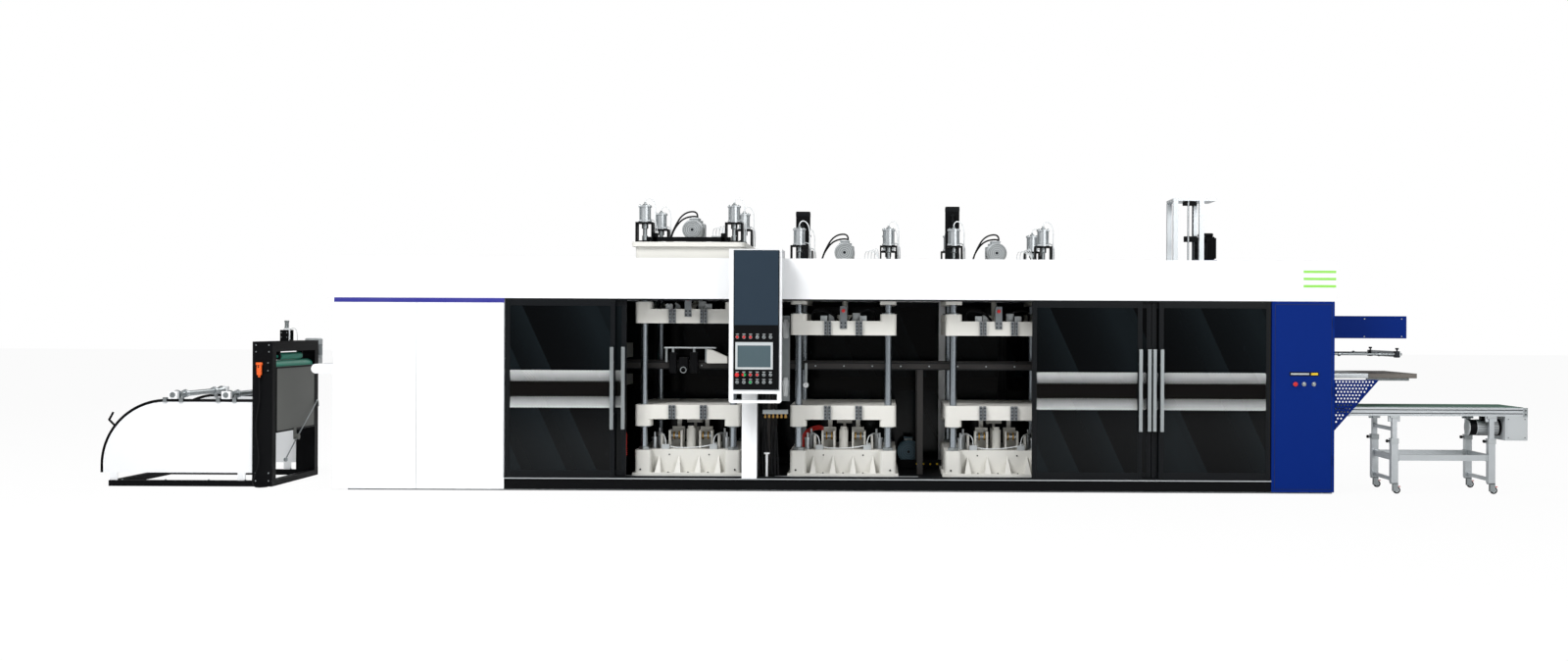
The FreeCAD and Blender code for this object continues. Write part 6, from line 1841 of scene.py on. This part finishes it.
@dataclass
class Interior:
    """Chain rail screws, conduits beside the post and the spiral air line."""

    rail_front: float = -0.405
    rail_z: float = 1.232
    rail_tall: float = 0.079

    def build(self) -> None:
        """Model what shows between the presses."""
        heads = screws([(-3.2 + i * 0.3, self.rail_front, self.rail_z + self.rail_tall / 2)
                        for i in range(26)], 0.008)
        fitted("rail_screws", both_sides(heads), Stock.STEEL)
        lips = [block((-5.06, 4.47), (self.rail_front - 0.004, self.rail_front), (z, z + 0.01), 0.001)
                for z in (self.rail_z + 0.002, self.rail_z + self.rail_tall - 0.012)]
        fitted("rail_lips", both_sides(lips), Stock.PROFILE)
        self.build_conduits()
        self.build_spiral()
        self.build_clamps()
        self.build_air_units()
        self.build_floor()

    def build_conduits(self) -> None:
        """Model the bundle of conduits that runs down beside the front post."""
        runs = []
        for i in range(7):
            x = -0.765 + i * 0.032
            sway = 0.02 * math.sin(i * 1.7)
            runs.append(pipe([(x, -0.8, 1.94), (x + sway, -0.8, 1.55), (x - sway, -0.79, 1.15),
                              (x + sway * 1.5, -0.8, 0.75), (x, -0.78, 0.42), (x + 0.01, -0.78, 0.16)],
                             0.01 + 0.002 * (i % 3)))
        fitted("post_conduits", runs, Stock.RUBBER)

    def build_spiral(self) -> None:
        """Model the red spiral air line at the first station."""
        points = []
        for step in range(12 * 11):
            angle = 2 * math.pi * step / 12
            points.append((-2.155 + 0.015 * math.cos(angle), -0.7 + 0.015 * math.sin(angle),
                           0.35 + 0.021 * step / 12))
        fitted("spiral_air_line", [pipe(points, 0.0055)], Stock.RED_HOSE)

    def build_clamps(self) -> None:
        """Model the film clamp on the front rail at the first station."""
        rear, front = self.rail_front, self.rail_front - 0.075
        blocks = [block(about(x, half), (front, rear), (low, high), 0.016)
                  for x, half, low, high in ((-1.697, 0.04, 1.19, 1.412), (-1.475, 0.043, 1.19, 1.412),
                                             (-1.585, 0.05, 1.225, 1.36))]
        fitted("clamp_jaws", blocks, Stock.BLACK)
        fitted("clamp_hoop", [ring((-1.585, front, 1.225), Axis.Y, 0.026, 0.034, -0.008)], Stock.STEEL)
        fitted("clamp_bar", [block((-1.786, -1.243), (front - 0.02, rear), (1.452, 1.466), 0.003)],
               Stock.PALE)
        posts = [block(about(x, 0.012), (front + 0.02, rear), (1.4, 1.453), 0.003)
                 for x in (-1.697, -1.475)]
        posts += [block(about(x, 0.012), (rear - 0.03, rear), (1.305, 1.453), 0.003)
                  for x in (-1.77, -1.35)]
        fitted("clamp_posts", posts, Stock.STEEL)
        wedge = block((-1.341, -1.123), (front, rear), (1.296, 1.446), 0.0)
        wedge = ease_edges(sliced(wedge, (-1.3, 0, 1.446), (0.42, 0, 0.91)), 0.006)
        fitted("clamp_wedge", [wedge], Stock.CASTING)

    def build_air_units(self) -> None:
        """Model the air service units between the post and the second station."""
        rear, x = self.rail_front, -0.51
        fitted("air_plate", [block((x - 0.05, x + 0.04), (rear - 0.012, rear), (0.9, 1.8))], Stock.STEEL)
        bowls = []
        for z in (1.56, 0.95):
            bowls.append(turned((x, rear - 0.05, z), Axis.Z, [
                (0.0, 0.016), (0.01, 0.028), (0.11, 0.031), (0.11, 0.036), (0.17, 0.036), (0.17, 0.026),
                (0.2, 0.022)
            ], 28))
            bowls.append(block(about(x, 0.02), (rear - 0.05, rear - 0.01), (z + 0.13, z + 0.16), 0.003))
        fitted("air_bowls", bowls, Stock.TUBE)
        gauge_x, gauge_y, gauge_z = -0.3, rear - 0.018, 1.07
        case = [turned((gauge_x, gauge_y, gauge_z), Axis.Y,
                       [(0.0, 0.032), (-0.022, 0.032), (-0.025, 0.03)]),
                block(about(gauge_x, 0.014), (rear - 0.02, rear - 0.006), (gauge_z + 0.01, 1.3))]
        fitted("gauge_case", case, Stock.STEEL)
        fitted("gauge_dial", [bar((gauge_x, gauge_y - 0.0245, gauge_z), Axis.Y, 0.026, -0.002, 32, 0.0004)],
               Stock.WHITE)
        needle = block(about(gauge_x, 0.0015), (gauge_y - 0.0275, gauge_y - 0.0262),
                       (gauge_z - 0.004, gauge_z + 0.019), 0.0003)
        fitted("gauge_needle", [needle], Stock.SCREW)
        fittings = [turned((-0.7 + i * 0.042, -0.8, 0.745), Axis.Z, stages((0.022, 0.015), (0.045, 0.011)),
                           12) for i in range(6)]
        fitted("manifold_glands", fittings, Stock.BRASS)
        fitted("manifold_block", [block((-0.725, -0.465), (-0.825, -0.775), (0.785, 0.83), 0.004)],
               Stock.STEEL)
        fitted("low_lamps", [turned((0.89 + i * 0.073, 0.25, 0.185), Axis.Y, [(0.0, 0.012), (-0.008, 0.01)],
                                    16) for i in range(4)], Stock.YELLOW)
        fitted("low_lamp_panel", [block((0.7, 1.2), (0.25, 0.29), (0.135, 0.23), 0.004)], Stock.BLACK)
        red = pipe([(-0.33, -0.22, 0.4), (-0.34, -0.22, 0.52), (-0.25, -0.24, 0.6), (-0.12, -0.24, 0.62),
                    (-0.08, -0.2, 0.5), (-0.07, -0.16, 0.4)], 0.026)
        fitted("red_drive_conduit", [red], Stock.RED_HOSE)

    def build_floor(self) -> None:
        """Model the pale strips that lie on the plinth between the stations."""
        plates = [block((left, right), (-0.86, -0.712), (0.135, 0.141), 0.001)
                  for left, right in ((-2.2, -0.93), (-0.6, 0.88), (1.22, 2.4))]
        fitted("inner_floor_strips", plates, Stock.PALE)


# Studio

@dataclass
class Studio:
    """Floor, lamps, world and camera."""

    camera_place: Point = (0.5, -16.95, 1.71)
    lens_mm: float = 36.0
    shift_x: float = -0.0625
    shift_y: float = -0.00375
    roll_deg: float = 0.25

    def build(self) -> None:
        """Set up the whole studio."""
        self.build_floor()
        self.build_world()
        self.build_lamps()
        self.build_camera()
        bpy.context.scene.view_settings.view_transform = "Standard"

    def build_floor(self) -> None:
        """Lay a plain pale floor that keeps the object's shadow."""
        start_clean()
        bpy.ops.mesh.primitive_plane_add(size=160.0, location=(0, 0, -0.0005))
        floor = bpy.context.active_object
        floor.name = "studio_floor"
        material, tree, shader = new_material("pale studio floor")
        shader.inputs["Base Color"].default_value = linear("#F4F4F4")
        shader.inputs["Roughness"].default_value = 0.9
        light_path = add_node(tree, "LightPath")
        white = add_node(tree, "Emission", {"Color": (1, 1, 1, 1), "Strength": 1.0})
        half = add_node(tree, "Math", {"operation": "MULTIPLY", 1: 0.95},
                        {0: light_path.outputs["Is Camera Ray"]})
        mix = add_node(tree, "MixShader",
                       links={0: half.outputs[0], 1: shader.outputs[0], 2: white.outputs[0]})
        tree.links.new(mix.outputs[0], tree.nodes["Material Output"].inputs["Surface"])
        floor.data.materials.append(material)

    def build_world(self) -> None:
        """Give an even white surround."""
        world = bpy.data.worlds.new("studio surround")
        bpy.context.scene.world = world
        world.use_nodes = True
        tree = world.node_tree
        rays = add_node(tree, "LightPath").outputs
        seen = add_node(tree, "Math", {"operation": "MAXIMUM"},
                        {0: rays["Is Camera Ray"], 1: rays["Is Transmission Ray"]})
        strength = add_node(tree, "MapRange", {3: 0.3, 4: 1.0}, {"Value": seen.outputs[0]})
        back = tree.nodes["Background"]
        back.inputs["Color"].default_value = (1, 1, 1, 1)
        tree.links.new(strength.outputs[0], back.inputs["Strength"])

    def build_lamps(self) -> None:
        """Hang three broad soft lamps."""
        lamps = (("key_lamp", (-6.0, -8.5, 10.5), (0.0, 0.0, 1.0), 5.0, 1500.0),
                 ("fill_lamp", (9.0, -14.0, 7.0), (2.0, 0.0, 1.2), 8.0, 950.0),
                 ("rear_lamp", (0.0, 10.0, 9.0), (0.0, 0.0, 1.5), 9.0, 900.0))
        for name, place, aim, size, power in lamps:
            lamp = bpy.data.lights.new(name, "AREA")
            lamp.shape, lamp.size, lamp.energy = "SQUARE", size, power
            holder = linked(name, lamp)
            holder.location = place
            aim_line = Vector(aim) - Vector(place)
            holder.rotation_euler = aim_line.to_track_quat("-Z", "Y").to_euler()

    def build_camera(self) -> None:
        """Stand the camera where the photograph was taken from."""
        camera = bpy.data.cameras.new("photo_camera")
        camera.lens, camera.sensor_width = self.lens_mm, 36.0
        camera.shift_x, camera.shift_y = self.shift_x, self.shift_y
        camera.clip_end = 400.0
        holder = linked("photo_camera", camera)
        holder.location = self.camera_place
        level = Matrix.Rotation(math.radians(90), 4, "X")
        roll = Matrix.Rotation(math.radians(self.roll_deg), 4, "Z")
        holder.rotation_euler = (level @ roll).to_euler()
        bpy.context.scene.camera = holder


def main() -> None:
    """Build every sub-assembly in order."""
    logging.basicConfig(level=logging.INFO, format="%(message)s")
    Studio().build()
    shell = BodyShell()
    shell.dress_nodes()
    SwitchCord().build()
    shell.build()
    for assembly in (Doors(), Presses(), CrownDrives(), Pendant(), ExitCabinets(), ExitStacker(),
                     ExitTable(), CornerGuard(), Conveyor(), Unwinder(), LiftTower(), Interior()):
        assembly.build()
        LOG.info("built %s", type(assembly).__name__)


if __name__ == "__main__":
    main()
